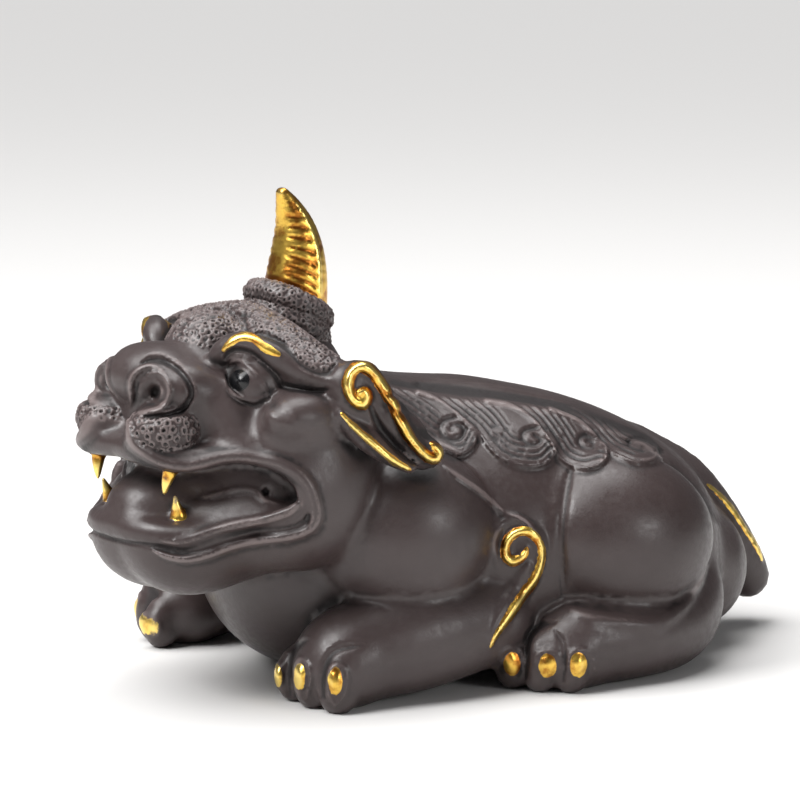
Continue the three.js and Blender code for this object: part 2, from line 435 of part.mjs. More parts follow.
// What is drawn on the body once its forms are together.
const BODY_LINES = [
  // spine
  stroke(SIDE, -0.45, 1.4, [
    [7.5, -9.4, 51.4], [7.1, -5.1, 50.9], [8.1, -1, 50.4], [9.2, 2.6, 49.8], [9.8, 6.4, 49.1],
    [10.3, 10.7, 48.2], [11.3, 14.8, 47.2], [12.6, 18.3, 46.1], [14.3, 21.7, 44.8], [15, 25.2, 43.4],
    [14.2, 30.2, 41.3], [14.4, 34.4, 39.6], [15.5, 36.8, 37.7],
  ]),
  // mane
  ...FIELDS.map((edge) => plateau(SIDE, 0.8, 0.5, edge)),
  ...LOCKS.map((lock) => stroke(SIDE, 0.35, 0.9, lock)),
  ...CURLS.map((curl) => stroke(SIDE, -0.5, 0.9, curl)),
  // creases of the arm, flank, forearm and shin
  stroke(SIDE, 0.5, 0.9, [
    [32.5, -15.6, 40.9, 0.5], [33.8, -13.9, 39.3], [34, -10.3, 36.9], [32.2, -6.5, 34.2],
    [32.5, -3.9, 31.8], [33.3, -1.5, 31], [34.2, 0.5, 29.3], [34.8, 2.3, 27, 0.5],
  ]),
  stroke(SIDE, -0.6, 1.4, [
    [30.3, 10.4, 37.7, 0.6], [32.3, 8.8, 35.5], [34.6, 6.8, 31.2], [35.7, 6, 26.6],
    [35.6, 6.2, 22.1], [34.5, 7.2, 16.2, 0.6],
  ]),
  stroke(SIDE, 0.6, 1.8, [
    [28.4, 40, 18.2, 0.5], [31.3, 36.9, 16], [35.6, 32.6, 14], [39.9, 27.3, 12.5],
    [41.7, 22.1, 11.4], [41.5, 16.4, 12.3], [40.5, 10.3, 13.3], [37.1, 7.5, 14.4, 0.5],
  ]),
  // the flame at the elbow: a leaf with a rolled edge, and the clay raised round its curl
  stroke(SIDE, 0.5, 1.3, [
    [33, -5.5, 22.4, 0.5], [33.1, -6, 25.5], [32.7, -5.4, 28.4], [32.2, -3.5, 30.2],
    [32.8, -1.5, 30.4], [33.8, 0.6, 29.2], [34.1, 2.8, 27.3], [34.4, 3.6, 25, 0.5],
  ]),
  stroke(SIDE, 0.7, 2, [
    [34.8, -0.1, 22.3, 0.7], [34.4, -1.3, 19.7], [35.3, -3.7, 17.3], [36.7, -6.1, 15, 0.8],
    [37.4, -7.9, 12.5, 0.6], [37.4, -8.8, 10, 0.3],
  ]),
  stroke(SIDE, 1, 1.1, [
    [35, -0.5, 25.5, 0.5], [35.3, -1.1, 24.5, 0.8], [34.5, -2, 23.6], [34.2, -3.3, 23.4],
    [34.1, -4.4, 24.7], [34.1, -4.2, 26.7], [34.1, -2.9, 28.1], [34.1, -0.9, 28.6],
    [34.5, 0.8, 27.9, 0.9], [35.1, 2, 26.2, 0.8], [35.3, 2.4, 24.4, 0.8], [35.4, 1.9, 22.2, 0.9],
    [35, 1, 19.9, 1.1], [34.6, -0.6, 17.7, 1.2], [36.1, -3.3, 15.6, 1.1], [37.2, -5.8, 13.3, 0.9],
    [37.8, -7.8, 11.3, 0.6], [37.4, -8.8, 9.2, 0.3],
  ]),
  // the line and the hollow beside the tail
  stroke(SIDE, 0.5, 1, [
    [6.8, 52.1, 28.8, 0.5], [6.7, 54.8, 26.6], [6.1, 57.4, 24.3], [5.6, 59.9, 21.3],
    [5.3, 62.4, 18], [4.7, 64.6, 15.2], [4.7, 65.6, 13, 0.6],
  ]),
  stroke(SIDE, -0.8, 1.6, [
    [19, 37.5, 35.3, 0.5], [18.2, 40, 33.4], [20, 41.5, 31.5], [21, 43.5, 29.5], [20.4, 44.6, 27.6],
    [19.2, 47, 24.6, 0.5],
  ]),
  // claws, and the creases between the toes
  spot(SIDE, 1, 1.9, [39, -39.7, 6.3], 1.9),
  spot(SIDE, 1, 1.6, [32.1, -43.7, 6], 2.2),
  spot(SIDE, 1, 1.4, [25.3, -45.2, 4.8], 2.2),
  ...[[42.5, 6.3, 5.7], [39.7, 1.5, 5.4], [35.1, -3.4, 5.2]].map((p) => spot(SIDE, 1, 2.2, p, 1.4)),
  ...[
    [
      [36.4, -41, 3.1, 0.8], [36.3, -40.9, 5.7], [36.1, -40.6, 8.2], [36.1, -39.8, 9.9],
      [36.6, -38.3, 11.2], [37.3, -36.2, 11.7], [37.7, -33.9, 11.8, 0.4],
    ],
    [
      [26.3, -43.2, 1.5, 0.8], [26.8, -43.8, 4.4], [26.3, -43.4, 6.9], [26.2, -42.7, 8.7],
      [28.3, -42.3, 10.5], [30.6, -41.3, 12.1, 0.4],
    ],
    [
      [36, -1, 2.8, 0.8], [36.5, -1.2, 5.6], [35.4, -0.5, 8.7], [34.5, 0.7, 10.4], [34.6, 2.6, 11.6],
      [36.6, 4.4, 12.3, 0.4],
    ],
    [
      [40.1, 4.3, 2.7, 0.8], [40.6, 4.2, 6], [40.1, 4.3, 8.6], [39.4, 4.3, 9.8], [37.8, 3.8, 11.1, 0.4],
    ],
  ].map((crease) => stroke(SIDE, -0.5, 1, crease)),
];
const drawn = (x, y, z) => {
  let lift = 0;
  for (const s of BODY_LINES) lift += s.lift(x, y, z);
  return lift;
};
const foreleg = lump([
  add(rope([[27, -5, 12.5, 9], [29.5, -20, 10.5, 9.5], [29.5, -33, 8.5, 8.6]])),
  add(egg([29, -35, 6.5], [9.6, 8, 7]), 3),
  add(rope([[33, -33, 8.5, 3.5], [35, -37, 7, 3.6], [35.4, -37.6, 3, 3.5]]), 0.8),
  add(rope([[29.5, -34, 9, 3.5], [30, -39.3, 7, 3.5], [30, -40, 3, 3.4]]), 0.8),
  add(rope([[24.5, -34, 8, 3.4], [24.2, -40.6, 6.5, 3.3], [24.2, -41.2, 3, 3.2]]), 0.8),
]);
const hindleg = lump([
  add(rope([
    [16, 39, 21, 7.5], [21, 38.5, 12, 8.2], [27, 33, 8.5, 8.4], [32.5, 22.5, 8, 8], [33.5, 11, 7.5, 7.8],
  ])),
  add(egg([33.2, 8, 6.5], [7.8, 8.6, 6.5]), 3),
  add(rope([[33.2, 11, 8.5, 3.5], [37.8, 7, 7, 3.4], [38.1, 6.9, 3, 3.3]]), 0.8),
  add(rope([[30.2, 7, 9, 3.5], [35, 2.4, 7, 3.4], [35.3, 2.2, 3, 3.3]]), 0.8),
  add(rope([[26.2, 3, 7, 3.4], [31.1, -1.4, 6, 3.2], [31.3, -1.5, 3, 3.1]]), 0.8),
]);
const tail = lump([
  add(rope([[0, 38, 31, 9], [0, 48, 27, 7.8], [0, 56, 19.8, 6.6], [0, 62, 12.8, 5.4], [0, 64.9, 9.4, 4.4]])),
]);

const mirror = (v, round) => sqrt(v * v + round * round) - round;
const figure = (x, y, z) => {
  const dx = x - MUZZLE[0];
  const dy = y - MUZZLE[1];
  const a = dx * cos(HEAD_TURN) + dy * sin(HEAD_TURN);
  const w = dy * cos(HEAD_TURN) - dx * sin(HEAD_TURN);
  const side = mirror(x, 0.8);
  let d = join(torso(side, y, z), tail(side, y, z), 2);
  d = join(d, hindleg(side, y, z), 1.5);
  const ahead = x < 0 ? y + FAR_FORELEG * smooth(-8, -24, y) : y;
  d = join(d, foreleg(side, ahead, z), 1.5);
  if (abs(d) < 5) d -= drawn(side, ahead, z);
  return join(d, head(mirror(a, 0.6), w, z), 1.5);
};

// A net of quads over the zero of a field, one corner to each cell that the surface crosses.
// Blocks of cells that lie well inside or outside are filled without being read.
const net = (field, low, high, cell) => {
  const block = 6;
  const n = [0, 1, 2].map((m) => block * Math.ceil((high[m] - low[m]) / cell / block) + 1);
  const at = (i, j, k) => i + n[0] * (j + n[1] * k);
  const value = new Float32Array(n[0] * n[1] * n[2]).fill(1e3);
  const near = 0.5 * block * cell * sqrt(3) * 1.25;
  for (let k = 0; k < n[2]; k += block)
    for (let j = 0; j < n[1]; j += block)
      for (let i = 0; i < n[0]; i += block) {
        const mid = [i, j, k].map((g, m) => low[m] + (g + block / 2) * cell);
        const d = field(...mid);
        for (let c = k; c < min(k + block, n[2]); c++)
          for (let b = j; b < min(j + block, n[1]); b++)
            for (let a = i; a < min(i + block, n[0]); a++)
              value[at(a, b, c)] =
                abs(d) > near ? d : field(low[0] + a * cell, low[1] + b * cell, low[2] + c * cell);
      }
  const corners = [...Array(8).keys()].map((c) => [c & 1, (c >> 1) & 1, c >> 2]);
  const step = corners.map((c) => at(...c));
  // Where two sheets would meet in one cell, clay is added until only one is left.
  const pieces = (set) => {
    let reached = set & -set;
    for (let i = 0; i < 4; i++)
      for (let c = 0; c < 8; c++)
        if (reached & (1 << c)) for (const bit of [1, 2, 4]) reached |= set & (1 << (c ^ bit));
    return reached === set;
  };
  const sound = [...Array(256).keys()].map((set) => {
    if (set === 0 || set === 255) return true;
    for (const [p, q] of [[1, 2], [1, 4], [2, 4]])
      for (const base of [0, 7 ^ p ^ q]) {
        const on = [base, base | p, base | q, base | p | q].map((c) => (set >> c) & 1);
        if (on[0] === on[3] && on[1] === on[2] && on[0] !== on[1]) return false;
      }
    return pieces(set) && pieces(255 ^ set);
  });
  for (let changed = true; changed; ) {
    changed = false;
    for (let k = 0; k < n[2] - 1; k++)
      for (let j = 0; j < n[1] - 1; j++)
        for (let i = 0; i < n[0] - 1; i++) {
          const here = at(i, j, k);
          let set = 0;
          for (let c = 0; c < 8; c++) if (value[here + step[c]] < 0) set |= 1 << c;
          if (sound[set]) continue;
          const free = step.filter((o) => value[here + o] >= 0);
          const least = free.reduce((a, b) => (value[here + b] < value[here + a] ? b : a));
          value[here + least] = -0.05 * cell;
          changed = true;
        }
  }
  const points = [];
  const index = new Int32Array(value.length).fill(-1);
  const edges = [];
  for (let a = 0; a < 8; a++) for (const bit of [1, 2, 4]) if (!(a & bit)) edges.push([a, a | bit]);
  for (let k = 0; k < n[2] - 1; k++)
    for (let j = 0; j < n[1] - 1; j++)
      for (let i = 0; i < n[0] - 1; i++) {
        const here = at(i, j, k);
        let inside = 0;
        for (let c = 0; c < 8; c++) if (value[here + step[c]] < 0) inside++;
        if (inside === 0 || inside === 8) continue;
        const sum = [0, 0, 0];
        let count = 0;
        for (const [a, b] of edges) {
          const va = value[here + step[a]];
          const vb = value[here + step[b]];
          if (va < 0 === vb < 0) continue;
          const t = va / (va - vb);
          for (let m = 0; m < 3; m++) sum[m] += corners[a][m] + t * (corners[b][m] - corners[a][m]);
          count++;
        }
        index[here] = points.length;
        points.push([i, j, k].map((g, m) => low[m] + cell * (g + sum[m] / count)));
      }
  const faces = [];
  const strides = [1, n[0], n[0] * n[1]];
  for (let k = 1; k < n[2] - 1; k++)
    for (let j = 1; j < n[1] - 1; j++)
      for (let i = 1; i < n[0] - 1; i++) {
        const here = at(i, j, k);
        const solid = value[here] < 0;
        for (let m = 0; m < 3; m++) {
          if (solid === value[here + strides[m]] < 0) continue;
          const p = strides[(m + 1) % 3];
          const q = strides[(m + 2) % 3];
          const loop = [index[here], index[here - p], index[here - p - q], index[here - q]];
          if (!solid) loop.reverse();
          faces.push([loop[0], loop[1], loop[2]], [loop[0], loop[2], loop[3]]);
        }
      }
  return { points, faces };
};

// Thinning by quadric error: the edge whose loss moves the surface least goes first. An edge
// goes only where the surface stays closed and no face turns over.
const thin = ({ points, faces }, target, weight) => {
  const n = points.length;
  const quadric = new Float64Array(10 * n);
  const round = points.map(() => new Set());
  const normal = (a, b, c) => {
    const [ux, uy, uz] = [b[0] - a[0], b[1] - a[1], b[2] - a[2]];
    const [vx, vy, vz] = [c[0] - a[0], c[1] - a[1], c[2] - a[2]];
    return [uy * vz - uz * vy, uz * vx - ux * vz, ux * vy - uy * vx];
  };
  faces.forEach((f, i) => {
    const [a, b, c] = f.map((v) => points[v]);
    const m = normal(a, b, c);
    const size = hypot(...m);
    f.forEach((v) => round[v].add(i));
    if (size < 1e-12) return;
    const [x, y, z] = m.map((v) => v / size);
    const d = -(x * a[0] + y * a[1] + z * a[2]);
    const s = (size / 2) * weight(...a);
    [x * x, x * y, x * z, x * d, y * y, y * z, y * d, z * z, z * d, d * d].forEach((v, j) => {
      for (const p of f) quadric[10 * p + j] += v * s;
    });
  });
  const stamp = new Int32Array(n);
  const heap = [];
  const push = (item) => {
    let i = heap.push(item) - 1;
    while (i > 0) {
      const up = (i - 1) >> 1;
      if (heap[up].cost <= item.cost) break;
      heap[i] = heap[up];
      i = up;
    }
    heap[i] = item;
  };
  const pop = () => {
    const top = heap[0];
    const item = heap.pop();
    if (!heap.length) return top;
    let i = 0;
    for (;;) {
      let c = 2 * i + 1;
      if (c >= heap.length) break;
      if (c + 1 < heap.length && heap[c + 1].cost < heap[c].cost) c++;
      if (heap[c].cost >= item.cost) break;
      heap[i] = heap[c];
      i = c;
    }
    heap[i] = item;
    return top;
  };
  const offer = (a, b) => {
    const q = new Float64Array(10);
    for (let j = 0; j < 10; j++) q[j] = quadric[10 * a + j] + quadric[10 * b + j];
    const price = ([x, y, z]) =>
      q[0] * x * x + q[4] * y * y + q[7] * z * z + q[9] +
      2 * (q[1] * x * y + q[2] * x * z + q[5] * y * z + q[3] * x + q[6] * y + q[8] * z);
    const [p, r] = [points[a], points[b]];
    const middle = p.map((v, m) => (v + r[m]) / 2);
    const long = hypot(p[0] - r[0], p[1] - r[1], p[2] - r[2]);
    // The best point solves the quadric, held near the edge's middle.
    const soft = 1e-3 * (q[0] + q[4] + q[7]) + 1e-9;
    const [A, B, C, D, E, F] = [q[0] + soft, q[1], q[2], q[4] + soft, q[5], q[7] + soft];
    const [X, Y, Z] = [soft * middle[0] - q[3], soft * middle[1] - q[6], soft * middle[2] - q[8]];
    const det = A * (D * F - E * E) - B * (B * F - C * E) + C * (B * E - C * D);
    let spot = [
      (X * (D * F - E * E) - B * (Y * F - E * Z) + C * (Y * E - D * Z)) / det,
      (A * (Y * F - E * Z) - X * (B * F - C * E) + C * (B * Z - Y * C)) / det,
      (A * (D * Z - Y * E) - B * (B * Z - Y * C) + X * (B * E - C * D)) / det,
    ];
    const off = hypot(spot[0] - middle[0], spot[1] - middle[1], spot[2] - middle[2]);
    if (!(off < long)) spot = [p, r, middle].reduce((s, t) => (price(t) < price(s) ? t : s));
    push({ cost: max(price(spot), 0) + 1e-4 * long * long, a, b, sa: stamp[a], sb: stamp[b], spot });
  };
  const beside = (v) => {
    const ring = new Set();
    for (const f of round[v]) for (const u of faces[f]) if (u !== v) ring.add(u);
    return ring;
  };
  for (let v = 0; v < n; v++) for (const u of beside(v)) if (u > v) offer(v, u);
  let left = faces.length;
  while (left > target && heap.length) {
    const { a, b, sa, sb, spot } = pop();
    if (stamp[a] !== sa || stamp[b] !== sb) continue;
    const [ra, rb] = [beside(a), beside(b)];
    let shared = 0;
    for (const v of ra) if (rb.has(v)) shared++;
    if (shared !== 2) continue;
    const turns = (v, other) => {
      for (const f of round[v]) {
        if (faces[f].includes(other)) continue;
        const [p, q, r] = faces[f].map((u) => points[u]);
        const [s, t, u] = faces[f].map((w) => (w === v ? spot : points[w]));
        const before = normal(p, q, r);
        const after = normal(s, t, u);
        const dot = before[0] * after[0] + before[1] * after[1] + before[2] * after[2];
        if (dot < 0.3 * hypot(...before) * hypot(...after)) return true;
      }
      return false;
    };
    if (turns(a, b) || turns(b, a)) continue;
    for (const f of round[b]) {
      if (faces[f].includes(a)) {
        for (const v of faces[f]) if (v !== b) round[v].delete(f);
        faces[f] = null;
        left--;
      } else {
        faces[f] = faces[f].map((v) => (v === b ? a : v));
        round[a].add(f);
      }
    }
    round[b].clear();
    points[a] = spot;
    for (let j = 0; j < 10; j++) quadric[10 * a + j] += quadric[10 * b + j];
    stamp[b] = -1;
    stamp[a]++;
    for (const v of beside(a)) offer(a, v);
  }
  return { points, faces: faces.filter(Boolean) };
};

// The head is kept finer than the body, which is smooth.
const care = (x, y, z) => (y < -26 && z > 18 ? 3 : 1);
const trimmed = (x, y, z) => max(figure(x, y, z), -2 - z);
const ROOM = { low: [-48, -78, -4], high: [48, 74, 92] };
const clay = thin(net(trimmed, ROOM.low, ROOM.high, CELL), TRIANGLES, care);

// Cut flat at the height it lies on, and stretched to its sizes about the middle of its length
// and width.
const wasm = await Module();
wasm.setup();
const { Manifold, Mesh } = wasm;
const order = new Map();
for (const f of clay.faces) for (const v of f) if (!order.has(v)) order.set(v, order.size);
const whole = new Manifold(new Mesh({
  numProp: 3,
  vertProperties: Float32Array.from([...order.keys()].flatMap((v) => clay.points[v])),
  triVerts: Uint32Array.from(clay.faces.flat().map((v) => order.get(v))),
}));
const room = ROOM.high.map((v, m) => v - ROOM.low[m]);
const under = Manifold.cube(room).translate([ROOM.low[0], ROOM.low[1], -room[2]]);
const resting = whole.subtract(under);
const box = resting.boundingBox();
const sizes = [WIDTH, LENGTH, HEIGHT];
const stretch = sizes.map((v, m) => v / (box.max[m] - box.min[m]));
const middle = [(box.min[0] + box.max[0]) / 2, (box.min[1] + box.max[1]) / 2, 0];
const solid = resting.translate(middle.map((v) => -v)).scale(stretch).getMesh();

const geometry = new THREE.BufferGeometry();
geometry.setAttribute('position', new THREE.BufferAttribute(solid.vertProperties, solid.numProp));
geometry.setIndex(new THREE.BufferAttribute(solid.triVerts, 1));
geometry.computeVertexNormals();

const material = new THREE.MeshStandardMaterial({ name: 'stoneware', color: 0x4a4143, roughness: 0.45 });
const pixiu = new THREE.Mesh(geometry, material);
pixiu.name = 'pixiu_figure';

const part = new THREE.Group();
part.name = 'pixiu_figure_part';
part.add(pixiu);
export default part;
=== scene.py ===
import math

import bmesh
import bpy
import numpy as np
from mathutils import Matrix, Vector
from mathutils.kdtree import KDTree


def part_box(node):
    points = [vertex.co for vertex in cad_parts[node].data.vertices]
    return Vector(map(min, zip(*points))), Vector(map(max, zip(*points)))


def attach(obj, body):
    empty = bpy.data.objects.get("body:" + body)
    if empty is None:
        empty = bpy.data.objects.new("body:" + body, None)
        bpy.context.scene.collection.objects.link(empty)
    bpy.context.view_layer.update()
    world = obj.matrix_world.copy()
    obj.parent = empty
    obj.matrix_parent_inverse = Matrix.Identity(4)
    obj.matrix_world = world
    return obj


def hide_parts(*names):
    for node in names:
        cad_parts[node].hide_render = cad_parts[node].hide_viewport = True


# the cast solid, measured before anything is laid on it
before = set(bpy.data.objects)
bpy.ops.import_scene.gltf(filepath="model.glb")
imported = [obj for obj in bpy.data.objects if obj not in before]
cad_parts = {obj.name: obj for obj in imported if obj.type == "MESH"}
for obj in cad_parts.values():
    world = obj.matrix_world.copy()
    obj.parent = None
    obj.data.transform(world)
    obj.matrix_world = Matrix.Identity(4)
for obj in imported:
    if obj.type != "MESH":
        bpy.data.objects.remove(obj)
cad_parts["pixiu_figure"].data.update()
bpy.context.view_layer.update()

# The body of the figure, modelled as clay is: forms pressed together and lines drawn on them.
# It is dark stoneware, slip-cast in one piece with the head. Millimetres until it is cast.

# how much a place's depth along the view counts when a line is drawn on the clay
DEPTH = 0.15
# how far from the surface lines are drawn
SKIN = 5


def smooth(low, high, v):
    t = np.clip((v - low) / (high - low), 0, 1)
    return t * t * (3 - 2 * t)


def egg(c, r, pitch=0.0, yaw=0.0):
    cp, sp, cy, sy = math.cos(pitch), math.sin(pitch), math.cos(yaw), math.sin(yaw)

    def distance(P):
        dx, dy, dz = (P - c).T
        ex, ey = dx * cy + dy * sy, dy * cy - dx * sy
        f = np.array([ex / r[0], (ey * cp + dz * sp) / r[1], (dz * cp - ey * sp) / r[2]])
        k0 = np.sqrt((f**2).sum(0))
        k1 = np.sqrt(((f.T / r) ** 2).sum(1))
        return k0 * (k0 - 1) / np.maximum(k1, 1e-9)

    return {"distance": distance, "centre": np.array(c, float), "reach": max(r)}


def smoothed(knots, steps):
    knots = np.array(knots, float)
    last = len(knots) - 1
    path = []
    for i in range(steps * last + 1):
        k = min(i // steps, last - 1)
        t = i / steps - k
        p, q, r, s = (knots[min(max(j, 0), last)] for j in (k - 1, k, k + 1, k + 2))
        bend, twist = 2 * p - 5 * q + 4 * r - s, 3 * q - 3 * r + s - p
        path.append(q + 0.5 * t * (r - p + t * (bend + t * twist)))
    return np.array(path)


def rope(knots, steps=4):
    path = smoothed(knots, steps)
    middle = path[len(path) // 2, :3]

    def distance(P):
        best = np.full(len(P), 1e9)
        for p, q in zip(path, path[1:]):
            d, u = q[:3] - p[:3], P - p[:3]
            t = np.clip(u @ d / (d @ d), 0, 1)
            gap = np.linalg.norm(u - t[:, None] * d, axis=1)
            best = np.minimum(best, gap - p[3] - (q[3] - p[3]) * t)
        return best

    reach = (np.linalg.norm(path[:, :3] - middle, axis=1) + path[:, 3]).max()
    return {"distance": distance, "centre": middle, "reach": reach, "path": path}


def join(a, b, k):
    h = np.maximum(k - np.abs(a - b), 0) / k
    return np.minimum(a, b) - h * h * k / 4


def looking(turn, lift):
    out = [math.sin(turn) * math.cos(lift), -math.cos(turn) * math.cos(lift), math.sin(lift)]
    up = [-math.sin(turn) * math.sin(lift), math.cos(turn) * math.sin(lift), math.cos(lift)]
    return {"out": np.array(out), "right": np.array([math.cos(turn), math.sin(turn), 0]), "up": np.array(up)}


# lines on the body are drawn from its left side, somewhat from the front and above
SIDE = looking(1.15, 0.14)


def add(f, k=2.0, **more):
    return {**f, "sign": 1, "k": k, **more}


def stroke(view, height, width, knots, steps=2, **more):
    path = smoothed([k if len(k) == 4 else [*k, 1] for k in knots], steps)

    def flat(P):
        return P - (1 - DEPTH) * np.outer(P @ view["out"], view["out"])

    line = flat(path[:, :3])
    low, high = line.min(0) - width, line.max(0) + width

    def nearest(P):
        Q = flat(P)
        best, full = np.ones(len(P)), np.ones(len(P))
        near = np.flatnonzero(((Q > low) & (Q < high)).all(1))
        Q = Q[near]
        for i in range(len(path) - 1):
            d, u = line[i + 1] - line[i], Q - line[i]
            t = np.clip(u @ d / (d @ d), 0, 1)
            part = path[i, 3] * (1 - t) + path[i + 1, 3] * t
            share = np.linalg.norm(u - t[:, None] * d, axis=1) / width / part
            closer = share < best[near]
            best[near[closer]], full[near[closer]] = share[closer], part[closer]
        return best, full

    def lift(P):
        gap, full = nearest(P)
        return height * np.minimum(full, 1) * (1 - gap**2) ** 2

    drawn = {"lift": lift, "gap": lambda P: nearest(P)[0]}
    return {**drawn, "path": path, "width": width, **more}


def spot(view, height, width, p, tall=1.0, **more):
    def gap(P):
        d = P - p
        off = np.array([d @ view["right"], d @ view["up"] / tall, DEPTH * (d @ view["out"])])
        return np.minimum(np.sqrt((off**2).sum(0)) / width, 1)

    path = np.array([[*p, 0.4]], float)
    drawn = {"lift": lambda P: height * (1 - gap(P) ** 2) ** 1.5, "gap": gap}
    return {**drawn, "path": path, "width": width, **more}


def lump(steps):
    def distance(P):
        d = np.full(len(P), 1e3)
        for s in steps:
            if "lift" in s:
                near = np.flatnonzero(np.abs(d) < SKIN)
                d[near] -= s["lift"](P[near])
                continue
            away = np.linalg.norm(P - s["centre"], axis=1) - s["reach"]
            near = np.flatnonzero(away - s["k"] < s["sign"] * d)
            d[near] = s["sign"] * join(s["sign"] * d[near], s["distance"](P[near]), s["k"])
        return d

    return {"distance": distance, "steps": steps}


def prism(view, knots):
    outline = np.array([[np.dot(view["right"], k), np.dot(view["up"], k)] for k in knots])

    def distance(P):
        p = np.array([P @ view["right"], P @ view["up"]]).T
        best, inside = np.full(len(P), 1e9), np.zeros(len(P), bool)
        for a, b in zip(outline, np.roll(outline, 1, 0)):
            d, u = b - a, p - a
            t = np.clip(u @ d / (d @ d), 0, 1)
            best = np.minimum(best, np.linalg.norm(u - t[:, None] * d, axis=1))
            if a[1] != b[1]:
                crossed = (a[1] > p[:, 1]) != (b[1] > p[:, 1])
                inside ^= crossed & (u[:, 0] < d[0] * u[:, 1] / d[1])
        return np.where(inside, -best, best)

    centre = np.mean(knots, 0)
    return {"distance": distance, "centre": centre, "reach": np.linalg.norm(knots - centre, axis=1).max()}


def plateau(view, height, soft, knots):
    edge = prism(view, knots)["distance"]
    return {"lift": lambda P: height * smooth(soft, -soft, edge(P))}


torso = lump([
    add(egg([0, 5, 23], [34.5, 37, 26.9])),
    add(egg([0, 22, 19], [33, 32, 24.5]), 6),
    add(rope([[0, -5, 30, 20], [3, -28, 37.4, 18.5]], 1), 8),
    add(egg([0, -27, 20], [25, 21.5, 20]), 6),
    add(egg([24.5, -20, 28.5], [14.5, 17, 15]), 1.5),
    add(egg([24.5, 21.5, 25], [17, 20, 15.2], -0.12), 1.5),
    add(egg([5, 46, 14], [15, 13.5, 13]), 3),
])
# each lock of the mane: its outer edge, down the flank and round the foot, and the curl inside
locks = [
    [[17, -21, 49.5], [21, -17.5, 46.5], [23.8, -14, 43.4], [24.5, -11, 41.9], [24.6, -8.8, 41.2],
     [23.8, -6.3, 42.2], [22.3, -4.6, 43.6], [21, -4.8, 45], [19.2, -5.8, 46.3]],
    [[11.2, -11.4, 50.9], [13.4, -8.8, 49.8], [16, -7.1, 48.3], [19.1, -5.7, 46.6], [21.1, -3.8, 44.5],
     [23.2, -2.8, 42.2], [25.7, -1.5, 40.3], [27.4, 0.9, 39.2], [28.3, 3.7, 38.8], [28.8, 6.2, 39.2],
     [27.2, 8.8, 40.4], [26.3, 9.3, 42.2], [23.9, 9, 43.7]],
    [[13.9, 1.2, 48.9], [15.2, 4.6, 48.3], [17.9, 6.6, 47.3], [20.4, 7.9, 45.8], [23.2, 8.5, 44],
     [26, 8.8, 42.2], [26.8, 10.1, 39.7], [29.3, 11.3, 38.6], [31.7, 12.9, 38.4], [32.3, 15.5, 39],
     [30.4, 18.1, 40.1], [26.9, 19.4, 41.3]],
    [[14.7, 14, 46.8], [17.4, 18, 45.1], [20.6, 19.3, 43.5], [23.7, 19.8, 41.9], [25.9, 20.8, 40.3],
     [30, 21.1, 39.7], [31, 24, 38.6], [28, 29, 38.3], [22, 33.5, 37.6], [18.4, 34.6, 37.4],
     [15.2, 36.1, 38.3]],
]
curls = [
    [[19.2, -5.8, 46.3], [18.6, -7.5, 46.8], [18.4, -9.4, 46.4], [19.6, -10.8, 45.2], [21.1, -10.3, 43.8],
     [21.8, -8.6, 43.4], [21.2, -6.7, 44.3], [19.9, -6.5, 45.5], [19.4, -8, 45.8], [20.2, -8.8, 45.1]],
    [[23.9, 9, 43.7], [22.1, 7.7, 44.5], [22.4, 5.3, 44.4], [23.8, 3.9, 43.5], [25.5, 4.2, 42.5],
     [25.8, 5.8, 42.2], [24.6, 7.3, 42.8], [23.8, 6.4, 43.5]],
    [[26.9, 19.4, 41.3], [24.3, 19.3, 42.1], [22.7, 17.4, 42.7], [23.6, 15.5, 42.2], [25.7, 15.1, 41.2],
     [27, 16.4, 41], [25, 18, 41.5], [24.3, 17, 41.9]],
    [[15.2, 36.1, 38.3], [14.6, 34.3, 39.6], [17.3, 30.3, 40.5], [21.5, 27.1, 40.5], [25, 26, 40.2],
     [26, 27.5, 39.6], [23, 29.5, 39.8]],
]
spine = [[7.5, -9.4, 51.4], [7.1, -5.1, 50.9], [8.1, -1, 50.4], [9.2, 2.6, 49.8], [9.8, 6.4, 49.1],
         [10.3, 10.7, 48.2], [11.3, 14.8, 47.2], [12.6, 18.3, 46.1], [14.3, 21.7, 44.8],
         [15, 25.2, 43.4], [14.2, 30.2, 41.3], [14.4, 34.4, 39.6], [15.5, 36.8, 37.7]]
fields = [
    [*smoothed(locks[0], 3), *locks[1][3::-1], [9.3, -17, 52.1]],
    [*smoothed(locks[1], 3), *locks[2][4::-1], [13.1, -3.4, 49.4]],
    [*smoothed(locks[2], 3), *locks[3][3::-1], [14.3, 9.2, 47.8]],
    [*smoothed(locks[3], 3), [14.6, 34.3, 39.6], [14.5, 29.5, 41.8], [14.5, 24, 44.2], [13, 20, 46]],
]
